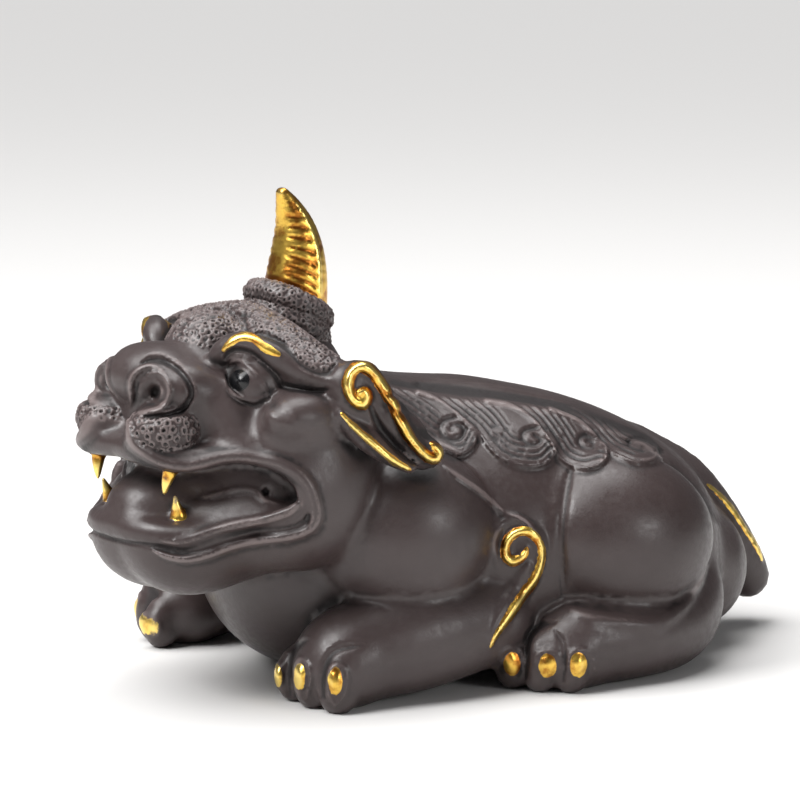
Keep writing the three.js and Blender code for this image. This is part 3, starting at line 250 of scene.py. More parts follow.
body_lines = [
    stroke(SIDE, -0.45, 1.4, spine),
    # locks of the mane
    *[plateau(SIDE, 0.8, soft, edge) for soft, edge in zip((0.5, 0.5, 0.5, 0.9), fields)],
    *[stroke(SIDE, 0.35, 0.9, lock) for lock in locks],
    *[stroke(SIDE, -0.45, 0.75, curl[1:]) for curl in curls],
    # creases of the arm, flank, forearm and shin
    stroke(SIDE, 0.5, 0.9, [
        [32.5, -15.6, 40.9, 0.5], [33.8, -13.9, 39.3], [34, -10.3, 36.9], [32.2, -6.5, 34.2],
        [32.5, -3.9, 31.8], [33.3, -1.5, 31], [34.2, 0.5, 29.3], [34.8, 2.3, 27, 0.5],
    ]),
    stroke(SIDE, -0.6, 1.4, [
        [30.3, 10.4, 37.7, 0.6], [32.3, 8.8, 35.5], [34.6, 6.8, 31.2], [35.7, 6, 26.6],
        [35.6, 6.2, 22.1], [34.5, 7.2, 16.2, 0.6],
    ]),
    stroke(SIDE, 0.6, 1.8, [
        [28.4, 40, 18.2, 0.5], [31.3, 36.9, 16], [35.6, 32.6, 14], [39.9, 27.3, 12.5],
        [41.7, 22.1, 11.4], [41.5, 16.4, 12.3], [40.5, 10.3, 13.3], [37.1, 7.5, 14.4, 0.5],
    ]),
    # the flame at the elbow: a leaf with a gilt rolled edge, and the clay raised round its curl
    stroke(SIDE, 0.5, 1.3, [
        [33, -5.5, 22.4, 0.5], [33.1, -6, 25.5], [32.7, -5.4, 28.4], [32.2, -3.5, 30.2],
        [32.8, -1.5, 30.4], [33.8, 0.6, 29.2], [34.1, 2.8, 27.3], [34.4, 3.6, 25, 0.5],
    ]),
    stroke(SIDE, 0.7, 2, [
        [34.8, -0.1, 22.3, 0.7], [34.4, -1.3, 19.7], [35.3, -3.7, 17.3], [36.7, -6.1, 15, 0.8],
        [37.4, -7.9, 12.5, 0.6], [37.4, -8.8, 10, 0.3],
    ]),
    stroke(SIDE, 1, 1.1, [
        [35, -0.5, 25.5, 0.5], [35.3, -1.1, 24.5, 0.8], [34.5, -2, 23.6], [34.2, -3.3, 23.4],
        [34.1, -4.4, 24.7], [34.1, -4.2, 26.7], [34.1, -2.9, 28.1], [34.1, -0.9, 28.6],
        [34.5, 0.8, 27.9, 0.9], [35.1, 2, 26.2, 0.8], [35.3, 2.4, 24.4, 0.8], [35.4, 1.9, 22.2, 0.9],
        [35, 1, 19.9, 1.1], [34.6, -0.6, 17.7, 1.2], [36.1, -3.3, 15.6, 1.1], [37.2, -5.8, 13.3, 0.9],
        [37.8, -7.8, 11.3, 0.6], [37.4, -8.8, 9.2, 0.3],
    ], gold=0.95),
    # the gilt line and the hollow beside the tail
    stroke(SIDE, 0.5, 1, [
        [6.8, 52.1, 28.8, 0.5], [6.7, 54.8, 26.6], [6.1, 57.4, 24.3], [5.6, 59.9, 21.3],
        [5.3, 62.4, 18], [4.7, 64.6, 15.2], [4.7, 65.6, 13, 0.6],
    ], gold=0.6),
    stroke(SIDE, -0.45, 2, [
        [19, 37.5, 35.3, 0.5], [18.2, 40, 33.4], [20, 41.5, 31.5], [21, 43.5, 29.5], [20.4, 44.6, 27.6],
        [19.2, 47, 24.6, 0.5],
    ]),
    # claws, each in its nail bed, and the creases between the toes
    spot(SIDE, 1, 1.9, [39, -39.7, 6.3], 1.9, gold=1.3),
    spot(SIDE, 1, 1.6, [32.1, -43.7, 6], 2.2, gold=1.05),
    spot(SIDE, 1, 1.4, [25.3, -45.2, 4.8], 2.2, gold=0.9),
    *[spot(SIDE, 1, 2.2, p, 1.4, gold=1.6) for p in [[42.5, 6.3, 5.7], [39.7, 1.5, 5.4], [35.1, -3.4, 5.2]]],
    *[stroke(SIDE, 0.4, 0.7, bed) for bed in [
        [[38.2, -39.4, 2, 0.6], [37.3, -40.5, 3.9], [36.9, -40.6, 6.2], [37.1, -39.9, 8.1], [37.7, -38.7, 9],
         [38.5, -37.6, 8.2], [38.9, -37.4, 6.3], [39.1, -38.1, 3.8], [38.4, -39.2, 2.2, 0.6]],
        [[31.8, -42.5, 1.5, 0.6], [29.8, -43.4, 3.2], [28.6, -43.4, 5], [28.8, -43.2, 7.6],
         [31.2, -42.7, 8.9], [33.3, -42.4, 7.8], [34, -42.5, 5.3], [32.1, -42.4, 1.8, 0.6]],
        [[41.1, 4.7, 5.1, 0.6], [41, 5.2, 7.5], [41.4, 7.1, 8.3], [41.7, 9.2, 7.3], [41.3, 10.1, 4.2, 0.6]],
        [[38, -0.1, 4.9, 0.6], [38, 0.2, 7.2], [38.6, 2, 8], [40, 3.5, 7.3], [40.2, 3.9, 4.6, 0.6]],
        [[33.3, -4.9, 5.3, 0.6], [34.2, -4.9, 7.4], [34.6, -3.1, 8], [34.4, -1.3, 7.2],
         [35.6, -1.3, 5.4, 0.6]],
    ]],
    *[stroke(SIDE, -0.5, 1, crease) for crease in [
        [[36.4, -41, 3.1, 0.8], [36.3, -40.9, 5.7], [36.1, -40.6, 8.2], [36.1, -39.8, 9.9],
         [36.6, -38.3, 11.2], [37.3, -36.2, 11.7], [37.7, -33.9, 11.8, 0.4]],
        [[26.3, -43.2, 1.5, 0.8], [26.8, -43.8, 4.4], [26.3, -43.4, 6.9], [26.2, -42.7, 8.7],
         [28.3, -42.3, 10.5], [30.6, -41.3, 12.1, 0.4]],
        [[36, -1, 2.8, 0.8], [36.5, -1.2, 5.6], [35.4, -0.5, 8.7], [34.5, 0.7, 10.4], [34.6, 2.6, 11.6],
         [36.6, 4.4, 12.3, 0.4]],
        [[40.1, 4.3, 2.7, 0.8], [40.6, 4.2, 6], [40.1, 4.3, 8.6], [39.4, 4.3, 9.8], [37.8, 3.8, 11.1, 0.4]],
    ]],
]
foreleg = lump([
    add(rope([[27, -5, 12.5, 9], [29.5, -20, 10.5, 9.5], [29.5, -33, 8.5, 8.6]])),
    add(egg([29, -35, 6.5], [9.6, 8, 7]), 3),
    add(rope([[33, -33, 8.5, 3.5], [35, -37, 7, 3.6], [35.4, -37.6, 3, 3.5]]), 0.8),
    add(rope([[29.5, -34, 9, 3.5], [30, -39.3, 7, 3.5], [30, -40, 3, 3.4]]), 0.8),
    add(rope([[24.5, -34, 8, 3.4], [24.2, -40.6, 6.5, 3.3], [24.2, -41.2, 3, 3.2]]), 0.8),
])
hindleg = lump([
    add(rope([[16, 39, 21, 7.5], [21, 38.5, 12, 8.2], [27, 33, 8.5, 8.4], [32.5, 22.5, 8, 8],
        [33.5, 11, 7.5, 7.8]])),
    add(egg([33.2, 8, 6.5], [7.8, 8.6, 6.5]), 3),
    add(rope([[33.2, 11, 8.5, 3.5], [37.8, 7, 7, 3.4], [38.1, 6.9, 3, 3.3]]), 0.8),
    add(rope([[30.2, 7, 9, 3.5], [35, 2.4, 7, 3.4], [35.3, 2.2, 3, 3.3]]), 0.8),
    add(rope([[26.2, 3, 7, 3.4], [31.1, -1.4, 6, 3.2], [31.3, -1.5, 3, 3.1]]), 0.8),
])
tail = lump([
    add(rope([[0, 38, 31, 9], [0, 48, 27, 7.8], [0, 56, 19.8, 6.6], [0, 62, 12.8, 5.4],
        [0, 64.9, 9.4, 4.4]])),
])


# The head, cast with the body and turned to the figure's left. One side is modelled and mirrored:
# places are out from its middle, back from the muzzle and up. Lines are drawn from three-quarter front.
FACE = looking(0.89, 0.14)


def cut(f, k=1.0):
    return {**f, "sign": -1, "k": k}


def less(a, b, k=0.01):
    return {**a, "distance": lambda P: -join(-a["distance"](P), b["distance"](P), k)}


def within(a, b, k=0.01):
    return {**a, "distance": lambda P: -join(-a["distance"](P), -b["distance"](P), k)}


def ring(c, radius, thick, tilt):
    ct, st = math.cos(tilt), math.sin(tilt)

    def distance(P):
        dx, dy, dz = (P - c).T
        across = np.hypot(dx, dy * ct + dz * st) - radius
        return np.hypot(across, dz * ct - dy * st) - thick

    return {"distance": distance, "centre": np.array(c, float), "reach": radius + thick}


lid = [[11, 9.9, 58.4], [11.4, 10.4, 59.4], [12.8, 10.6, 60.1], [14.3, 11, 60.1], [16.2, 11.4, 59.2],
       [17.8, 11.8, 58], [18.7, 12.5, 56.6], [19.3, 13.1, 54.6]]
lower_lid = [[11, 9.9, 58.4], [13, 8.3, 57.2], [14.2, 8.1, 55.9], [15.5, 8.8, 54.7], [16.5, 10, 54],
             [17.8, 11.2, 53.7], [19.3, 13.1, 54.6]]
eyeball = egg([13.9, 14.6, 55.7], [5.2, 5.2, 5.2])
hairline = [[12.2, 13, 64.4], [14, 15.5, 64.3], [16.8, 16.6, 63.6], [19.3, 16.7, 62.8],
            [21.3, 16.9, 61.6], [23.1, 17.3, 60.2], [24.4, 18.5, 59.2], [25.6, 19.8, 58.6],
            [26.2, 21.3, 58.7], [25.9, 23, 59.8]]
head = lump([
    # skull, crown, jowl, lower jaw and chin, muzzle
    add(egg([0, 26, 47], [24, 18.5, 13.5])),
    add(egg([0, 30.5, 56], [10.5, 10.5, 8]), 3),
    add(egg([16.5, 22, 38.5], [13, 14.5, 15.5]), 6),
    add(egg([0, 12, 31], [18.5, 17.5, 12]), 5),
    add(egg([4.5, 5.3, 28.8], [10.4, 10.5, 9.2]), 4),
    add(egg([0, 10, 50.5], [14.5, 13, 9]), 4),
    add(egg([10.5, 18.3, 56], [8.4, 8, 7]), 4),
    # lips
    add(egg([0, 6, 45.5], [13.5, 9, 4]), 2.5),
    add(rope([[0, -4.6, 45.6, 2.2], [5, -4.9, 45.2, 2.2], [9.6, -3.7, 44.6, 2.1], [13, -0.2, 44.3, 2],
        [15.6, 4, 44.8, 1.6], [18.2, 7.4, 45, 1.2]]), 2.5),
    # nose, with its wings, and the pads of the upper lip
    add(egg([0, 10, 57.5], [8, 9, 5]), 3),
    add(egg([0, 2.2, 57], [8.4, 7.5, 5.7]), 2),
    add(egg([7.8, 3.4, 55.2], [5.6, 6.2, 4.9]), 2),
    add(egg([7.6, -1.2, 48.9], [6.4, 5.9, 4.5]), 1.2, name="pad"),
    # folds of the cheek
    add(rope([[12, 8, 55, 1.5], [14.5, 7.5, 51, 2.2], [17, 9, 47, 2], [20, 12.5, 46, 1.8]]), 4),
    add(egg([24, 17, 51.3], [5, 7.5, 4]), 4),
    # forehead and the roll of hair over it
    add(egg([0, 14, 60], [7.4, 6.6, 7]), 1.5, name="lobe"),
    add(rope([
        [0, 22, 61.3, 6.8], [8, 21.2, 60.4, 6.4], [15, 21, 58.9, 5.9], [21, 22.3, 57.2, 5],
        [24.5, 24.8, 56, 4],
    ]), 1.5, name="crown"),
    # the pocket of the mouth, open in front, with the gum, the tongue and the lips' edges
    cut(less(prism(FACE, [
        [-12, -8, 42], [-2, -4, 41.8], [3, -3.8, 42.1], [8, -2.2, 42], [11, -1.3, 41.7],
        [13.2, 0.4, 42.2], [15.5, 4.2, 42.9], [17.6, 6.5, 43.6], [19.9, 8.2, 43.8], [22.7, 9.6, 43.1],
        [25.4, 11.4, 41.9], [27, 12.8, 40.1], [27.4, 13.3, 37.7], [26.4, 12.1, 36.5],
        [24.3, 10.3, 35.5], [21.4, 8.6, 34.6], [18.3, 6.2, 33.5], [16.5, 3.4, 32.3],
        [14.1, 0.1, 31.4], [11.2, -2.3, 31.6], [6.4, -4.6, 32.8], [-12, -8, 33.2],
    ]), egg([0, 20.5, 37], [22.5, 18.5, 16])), 1),
    add(within(prism(FACE, [
        [26.2, 12.6, 36.2], [23.2, 15.3, 36.2], [21.5, 14.3, 36.2], [19.9, 11.8, 37],
        [18.8, 10.5, 38.5], [16.9, 8.8, 38.8], [15.4, 7.6, 38.4], [13.1, 5.9, 37.6],
        [12.1, 2.8, 37.3], [10.1, 0.4, 37.1], [6, -2.6, 36.6], [3, -5, 35], [5, -5, 31.5],
        [10.1, -3.8, 30.2], [14.2, -0.7, 30.5], [17.6, 5.3, 32.5], [21.8, 8.3, 33.7],
        [24.6, 10, 34.6], [26.7, 11.9, 35.6],
    ]), egg([0, 20.5, 29.5], [27.5, 22.3, 15]), 1.5), 0.6),
    add(rope([[0, -2.6, 30.2, 3], [5, -2.2, 30.2, 3], [9.5, -0.4, 30.5, 3], [13.5, 3.4, 31.2, 2.6],
        [18, 8.2, 32.6, 2]]), 1.5),
    add(rope([[0, -5.2, 31.4, 2.2], [4, -4.9, 31.3, 2.2], [8, -3.5, 31.1, 2.2], [11.5, -0.9, 31.1, 1.9],
        [14.5, 2.7, 31.6, 1.5]]), 1.2),
    add(egg([0, 6.5, 34.6], [9, 12.5, 6.6]), 2.5),
    stroke(FACE, 1.1, 1.8, [
        [3.5, -5.7, 49.6, 0.6], [5.6, -7.1, 47.6], [7.9, -7, 46.2], [11.2, -5.1, 44.5], [13, -3.8, 43.8],
        [14.7, -1.5, 43.4], [16.3, 1.3, 43.9], [17.4, 3.5, 44.6], [19.3, 6.4, 44.9], [21.9, 8.4, 44.7],
        [24.5, 10.3, 44.3], [26.4, 12, 43.4], [28, 13.5, 42], [28.9, 14.8, 40.1], [29.3, 15.6, 37.6],
        [29.2, 16.1, 35.1], [28.4, 15.5, 33], [26.3, 13, 31.7], [22.9, 10.4, 31], [20, 7.9, 30.3],
        [18.1, 5.3, 29.6], [16.3, 2.7, 28.5], [14.5, -0.4, 27.6, 0.9], [12.9, -2.4, 27.5, 0.7],
        [11.1, -3.9, 27.9, 0.5], [9.4, -5, 28.8, 0.2],
    ]),
    stroke(FACE, 0.8, 1.4, [
        [27, 13.2, 36.8, 0.6], [26.7, 11.9, 35.8], [24.6, 10, 34.8], [21.8, 8.3, 33.9],
        [19.5, 6.9, 33.4], [18.1, 4.7, 32.9], [17, 2.8, 32.3], [15.6, 1.3, 31.5], [14.2, -0.7, 30.7, 0.8],
        [12.9, -3, 30.4, 0.5], [10.8, -4.5, 30.7, 0.2],
    ]),
    stroke(FACE, -0.7, 1.2, [
        [28, 15, 35, 0.6], [27.8, 14.4, 33.5], [26, 12.8, 32.5], [23.5, 10.9, 31.9], [20.5, 8.5, 31.4],
        [18.4, 6.2, 30.6], [16.5, 3.7, 29.5], [14.5, 1.3, 28.5], [12.1, -0.9, 28.2],
        [10.4, -3, 28.9, 0.9], [8, -4.9, 29.4, 0.7], [4, -5.9, 29.3, 0.6], [0, -6, 29.2, 0.6],
    ]),
    # the gum's edge, and the hole that lets air into the hollow casting
    stroke(FACE, 0.45, 0.8, [
        [21.5, 14.3, 36.2, 0.5], [19.9, 11.8, 37], [18.8, 10.5, 38.5], [16.9, 8.8, 38.8],
        [15.4, 7.6, 38.4], [13.1, 5.9, 37.6], [12.1, 2.8, 37.3, 0.5],
    ]),
    spot(FACE, -1.4, 0.9, [18.4, 13.1, 38]),
    # nostrils and the folds round them
    stroke(FACE, -0.9, 0.8, [
        [4.1, -3.2, 59.9, 0.5], [5, -1.7, 60.6], [6.4, -0.1, 60.3], [9.1, 0.9, 59.1], [11.6, 1.3, 57.3],
        [12.3, 1.7, 55.3], [12.5, 0.6, 53.9], [11.9, -0.6, 52.4], [10.5, -2.8, 51.6], [8, -4.3, 51.2],
        [5, -4.6, 50.9, 0.5],
    ]),
    stroke(FACE, 0.5, 0.9, [
        [2, -4.2, 52.6, 0.6], [2.4, -4.4, 54.4], [2.9, -4.8, 56.9], [4.1, -4.3, 58.7],
        [5.5, -2.8, 59.6], [7.8, -1.6, 59.2, 0.6],
    ]),
    stroke(FACE, -0.4, 0.8, [[3.6, -4.4, 53.5, 0.6], [4, -4.5, 55.8], [4.9, -4.3, 57.6], [6, -3, 58.7, 0.6]]),
    spot(FACE, -0.5, 2.2, [7, -2.8, 55.2], 1.2),
    spot(FACE, -1.3, 1.2, [7.2, -2.6, 55.4], 1.3),
    stroke(FACE, 0.6, 0.9, [
        [5.8, -3.2, 58.3, 0.6], [7.3, -1.8, 58.6], [9.6, -1.9, 57.8], [10.7, -1.8, 56.2],
        [10.4, -2, 54.3], [9.4, -2.8, 52.9], [8, -4.2, 52.3, 0.6],
    ]),
    # the fold that parts cheek and muzzle
    stroke(FACE, -0.45, 1.6, [
        [19.8, 12.7, 53.6, 0.4], [22.4, 11.9, 53.5], [24.9, 11, 53.1], [26.5, 11.4, 52.3],
        [27.3, 12.1, 51.3, 0.4],
    ]),
    # brow, the folds under it, and the eye between its lids
    add(rope([
        [7.8, 9.4, 59, 1.5], [10, 10.4, 61.6, 2.2], [12.6, 12.3, 62.7, 2.4], [15.7, 14.7, 62.2, 2.6],
        [19.2, 17.3, 60.2, 2.8], [22.6, 19.8, 58.1, 2.8], [25.2, 22.2, 57.2, 2.3],
    ]), 0.8),
    stroke(FACE, -0.7, 1, [
        [11.7, 9.3, 60.6, 0.6], [12.5, 9.5, 61.5], [13.4, 10.4, 62], [14.4, 11.6, 61.9],
        [15.5, 12.5, 61.3], [16.6, 13.4, 60], [18, 13.7, 58.8], [18.8, 14.4, 57.5], [18.9, 15.8, 56.3],
        [20, 17.2, 55.8, 0.8], [22.7, 18.5, 55.5, 0.7], [24.8, 20.1, 55.4, 0.7],
        [26.9, 21.2, 55.9, 0.5],
    ]),
    add(rope([
        [12.1, 11.3, 59.8, 0.8], [13, 12, 60.1, 1.1], [14.3, 12.6, 60.2, 1.2], [15.1, 13.4, 59.7, 1.2],
        [16.1, 13.8, 58.8, 1.2], [17.2, 14.1, 57.5, 1.1], [18.4, 14.6, 56, 0.8],
    ]), 0.5),
    add(eyeball, 0.3),
    cut(less(less(prism(FACE, lid + lower_lid[-2:0:-1]), eyeball), egg([-1.1, 36, 49], [30, 30, 30])), 0.25),
    stroke(FACE, 0.3, 0.7, [[*lid[1], 0.5], *lid[2:-1], [*lid[-1], 0.5]]),
    stroke(FACE, 0.35, 0.8, [[*lower_lid[1], 0.5], *lower_lid[2:-1], [*lower_lid[-1], 0.5]]),
    stroke(FACE, -0.25, 0.7, [
        [14.3, 7.8, 56.4, 0.6], [15.3, 7.7, 54.9], [16.8, 9, 53.5], [18.6, 11, 52.9, 0.6],
    ]),
    spot(FACE, 0.7, 2, [15.9, 9.2, 57.3], name="pupil"),
    stroke(FACE, 0.5, 1.2, [
        [11.9, 8.9, 62.1, 0.6], [12.9, 9.4, 63.2, 0.9], [13.9, 10.3, 64.2], [14.9, 11.2, 64.5],
        [16.1, 12.1, 64.2], [17.6, 12.7, 63.3], [18.9, 13.5, 62.4], [20.3, 14.5, 61.7, 0.6],
    ], gold=0.75),
    stroke(FACE, -0.6, 1, [[*hairline[0], 0.5], *hairline[1:-1], [*hairline[-1], 0.5]]),
    stroke(FACE, -0.7, 1.2, [[0, 18.4, 67.2], [3, 17.8, 66.5], [7.2, 16.8, 65.2], [8.6, 16.3, 64.5]]),
    # collar and horn
    add(ring([0, 31.7, 63.6], 6.2, 2, -0.48), 0.6, name="collar_low"),
    add(ring([0, 32.5, 66.7], 6.1, 2.1, -0.48), 0.6, name="collar_top"),
    add(rope([
        [0, 33.7, 64, 5.6], [0, 34.2, 70.6, 5.4], [0, 34.5, 75.7, 4.6], [0, 34, 80.2, 3.4],
        [0, 32.6, 84, 2.1], [0, 31.2, 86.7, 0.95],
    ]), 0.4, name="horn"),
    # ear, a folded leaf that lies back, and the rolled rims along it
    add(egg([29.5, 31, 49.5], [3.4, 12.5, 4.6], -0.68, -0.33), 1.2),
    add(egg([28.5, 25.3, 56], [2.6, 4, 4.6]), 3),
    add(egg([33, 37.8, 44.2], [2, 2.8, 2.4]), 1),
    add(rope([[28.5, 21.8, 51.6, 1.2], [30, 25, 48.2, 2], [32, 28.8, 45.4, 2.2],
        [33.2, 33.4, 42.4, 1.4]]), 1),
    add(rope([
        [30.5, 25.1, 59.7, 0.9], [30.7, 26.7, 59.2, 1.1], [30.8, 28.8, 56.8, 1.2],
        [31.9, 30.2, 53.9, 1.2], [33, 31.5, 50.5, 1.2], [33.6, 33, 47.6, 1.1], [34.2, 34.6, 45.5, 1],
    ]), 1.2),
    stroke(FACE, 1.1, 1.3, [
        [31, 24.2, 55.4, 0.7], [31.1, 25.2, 55.6, 0.8], [31.3, 25.6, 54.6, 0.9], [31.6, 24.4, 53.5, 0.9],
        [31.2, 22.5, 54.5, 0.9], [30.8, 21.7, 56.9], [30.7, 22.5, 59.1], [30.9, 24.2, 60],
        [31.3, 26.2, 59.3], [31.4, 28.3, 56.9], [32.5, 29.7, 54], [33.6, 31, 50.6],
        [34.2, 32.5, 47.7, 0.95], [34.8, 34.1, 45.6, 0.9], [35.5, 35.8, 43.8, 0.9],
        [35.8, 37.9, 43.3, 0.9], [35.9, 38.4, 44.6, 0.8], [35.3, 37.3, 46, 0.7],
    ], gold=1.1),
    stroke(FACE, 0.9, 1, [
        [29.6, 21.3, 52, 0.5], [31.2, 22.2, 50.3, 0.8], [32.5, 23.9, 48.4], [33.9, 25.9, 46.3],
        [34.7, 28.3, 44.1], [34.8, 31.4, 42.4, 0.8], [33.8, 33.3, 41.7, 0.4],
    ], gold=0.7),
    stroke(FACE, -0.9, 1.1, [
        [31.6, 26.2, 52.9, 0.6], [31.3, 27.9, 49.9], [32, 29.6, 47.4], [33.4, 31.2, 45],
        [34, 33.8, 42.8, 0.6],
    ]),
    # fangs
    add(rope([
        [10.6, -1.6, 43, 1.5], [10.5, -2.1, 41.6, 1.2], [10.1, -2.5, 39.8, 0.8], [9.8, -2.7, 38.3, 0.3],
    ]), 0.3, gold=0.12),
    add(rope([
        [10, 0.4, 33, 1.7], [10, 0.1, 34.2, 1.4], [10.3, -0.5, 36, 0.8], [10.6, -1, 37.6, 0.3],
    ]), 0.3, gold=0.12),
])

# The casting: the cast solid's own skin, drawn finer, so that each line and grain of the carving
# is in the clay. It is dark stoneware, closed, and it lies on a flat underside.

# how far the head is turned, and the point under the muzzle that its own places are counted from
HEAD_TURN = math.radians(15)
MUZZLE = (14.5, -66)
# how far the far foreleg is set forward, and where along the body that starts and is so in full
FAR_FORELEG = 7.5
ELBOW, WRIST = -8, -24
# the box that the clay fills as it is modelled, before it is cast to the stated size
DESIGN_BOX = np.array([[-43.4553, -75.582, 0], [43.4669, 69.3923, 87.645]])
# how much longer the finished skin stands than the solid, whose length is a stated size
LONGER = np.array([1, 1.0135, 1])
# how softly the two sides meet in the middle, and how softly limbs, head and tail grow from the body
BODY_SEAM, HEAD_SEAM = 0.8, 0.6
LIMB_FILLET, HEAD_FILLET, TAIL_FILLET = 1.5, 1.5, 2


def mirrored(v, soft):
    return np.sqrt(v * v + soft * soft) - soft


def in_body(P):
    return np.array([mirrored(P[:, 0], BODY_SEAM), P[:, 1], P[:, 2]]).T


def in_foreleg(P):
    ahead = P[:, 1] + np.where(P[:, 0] < 0, FAR_FORELEG * smooth(ELBOW, WRIST, P[:, 1]), 0)
    return np.array([mirrored(P[:, 0], BODY_SEAM), ahead, P[:, 2]]).T


def in_head(P):
    dx, dy = P[:, 0] - MUZZLE[0], P[:, 1] - MUZZLE[1]
    c, s = math.cos(HEAD_TURN), math.sin(HEAD_TURN)
    return np.array([mirrored(dx * c + dy * s, HEAD_SEAM), dy * c - dx * s, P[:, 2]]).T


def figure(P):
    B, F = in_body(P), in_foreleg(P)
    d = join(torso["distance"](B), tail["distance"](B), TAIL_FILLET)
    d = join(d, hindleg["distance"](B), LIMB_FILLET)
    d = join(d, foreleg["distance"](F), LIMB_FILLET)
    near = np.flatnonzero(np.abs(d) < SKIN)
    d[near] -= sum(s["lift"](F[near]) for s in body_lines)
    return join(d, head["distance"](in_head(P)), HEAD_FILLET)


# the skin's edges as a share of a line's width, and the rolls thin enough to be lines of this width
EDGE_SHARE = 0.34
THIN_ROLL, ROLL_WIDTH = 3.2, 1.2
# the skin's edges in millimetres: on plain clay, lines, locks and pupils, and on the named forms
PLAIN, LINE, LOCK, PUPIL = 2.0, 0.38, 0.38, 0.16
GRAINED = {"pad": 0.28, "lobe": 0.28, "crown": 0.28, "collar_low": 0.3, "collar_top": 0.3, "horn": 0.38}
# how much longer the edges are for each millimetre past this distance from a line
GROWTH, LINE_REACH = 0.6, 0.8
# how near a grained form the skin is fine, back to the nape, and where the locks lie on the body
NEAR_GRAIN, NAPE = 1.2, 42
NEAR_LOCK, LOCKS_LOW, LOCKS_IN = 0.3, 30, 8


def tree(steps):
    rows = [(p[:3], EDGE_SHARE * s.get("width", ROLL_WIDTH) * (p[3] if "width" in s else 1))
            for s in steps if "path" in s and ("width" in s or s["path"][:, 3].max() < THIN_ROLL)
            for p in smoothed(s["path"], 2)]
    made = KDTree(len(rows))
    for i, (p, _) in enumerate(rows):
        made.insert(p, i)
    made.balance()
    return made, [r[1] for r in rows]


# the points of all lines, spots and thin rolls, in the head and on the body, to be found by place
trees = [tree(head["steps"]), tree(body_lines + foreleg["steps"] + hindleg["steps"])]
named = {s["name"]: s for s in head["steps"] if "name" in s}


def wanted(P):
    longest = np.full(len(P), PLAIN)
    for (made, fine), Q in zip(trees, (in_head(P), in_foreleg(P))):
        for i, p in enumerate(Q):
            _, j, away = made.find(p)
            longest[i] = min(longest[i], max(fine[j], LINE) + GROWTH * max(away - LINE_REACH, 0))
    B, H = in_body(P), in_head(P)
    for name, fine in GRAINED.items():
        d = named[name]["distance"](H)
        grained = (np.abs(d) < NEAR_GRAIN) & (H[:, 1] < NAPE)
        longest = np.where(grained, np.minimum(longest, fine), longest)
    longest = np.where(named["pupil"]["gap"](H) < 1, PUPIL, longest)
    for edge in fields:
        inside = (prism(SIDE, edge)["distance"](B) < NEAR_LOCK) & (B[:, 2] > LOCKS_LOW) & (B[:, 0] > LOCKS_IN)
        longest = np.where(inside, np.minimum(longest, LOCK), longest)
    return longest


# the solid's own skin, put back to the size that it was modelled at
lowest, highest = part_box("pixiu_figure")
stretch = np.array(highest - lowest) * 1000 / (DESIGN_BOX[1] - DESIGN_BOX[0])
middle = DESIGN_BOX.mean(0) * [1, 1, 0]
body = bmesh.new()
body.from_mesh(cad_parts["pixiu_figure"].data)
bmesh.ops.remove_doubles(body, verts=body.verts, dist=1e-6)
for v in body.verts:
    v.co = Vector(np.array(v.co) * 1000 / stretch + middle)


def read(bm):
    bm.verts.index_update()
    P = np.array([v.co[:] for v in bm.verts])
    E = np.array([[v.index for v in e.verts] for e in bm.edges])
    T = np.array([[v.index for v in f.verts] for f in bm.faces])
    return P, E, T


def normals(P, T):
    n = np.cross(P[T[:, 1]] - P[T[:, 0]], P[T[:, 2]] - P[T[:, 0]])
    total = np.zeros_like(P)
    for k in range(3):
        for m in range(3):
            total[:, m] += np.bincount(T[:, k], n[:, m], len(P))
    return total / np.maximum(np.linalg.norm(total, axis=1), 1e-12)[:, None]


def beside(P, E):
    total, count = np.zeros_like(P), np.bincount(E.ravel(), minlength=len(P))
    for a, b in ((0, 1), (1, 0)):
        for m in range(P.shape[1]):
            total[:, m] += np.bincount(E[:, a], P[E[:, b], m], len(P))
    return total / count[:, None]


# what lies this low is the underside, and all else stays above it
UNDERSIDE, ABOVE = 0.02, 0.03
# the evening out of the edges in each round, and the farthest that the skin is drawn to the clay
EASE, FARTHEST = 0.5, 0.4
# how far off the clay is felt, the least slope that is trusted, and what counts as a fold
FEELER, LEAST_SLOPE = 0.1, 0.4
FOLD_SLOPE, FOLD_GAP = 0.2, 0.1


def settle(P, E, T, rounds):
    under = P[:, 2] < UNDERSIDE
    inner = np.zeros(len(P), bool)
    inner[T.ravel()] = True
    inner[T[~under[T].all(1)].ravel()] = False
    for _ in range(rounds):
        n = normals(P, T)
        move = beside(P, E) - P
        move -= n * (move * n).sum(1)[:, None]
        move[under] = 0
        P = P + EASE * move
        n = normals(P, T)
        n[inner] = 0
        n[under, 2] = 0
        d = figure(P)
        slope = (figure(P + FEELER * n) - d) / FEELER
        folded = (slope < FOLD_SLOPE) & (np.abs(d) > FOLD_GAP) & ~under & ~inner
        drawn = np.clip(d / np.maximum(slope, LEAST_SLOPE), -FARTHEST, FARTHEST)
        P = P - n * (drawn * ~folded)[:, None]
        P[folded] += (beside(P, E) - P)[folded]
        P[~under, 2] = np.maximum(P[~under, 2], ABOVE)
    return P


# an edge is halved while it is this many times too long, until few are left or for so many rounds
TOO_LONG, FEW, ROUNDS = 1.33, 200, 7

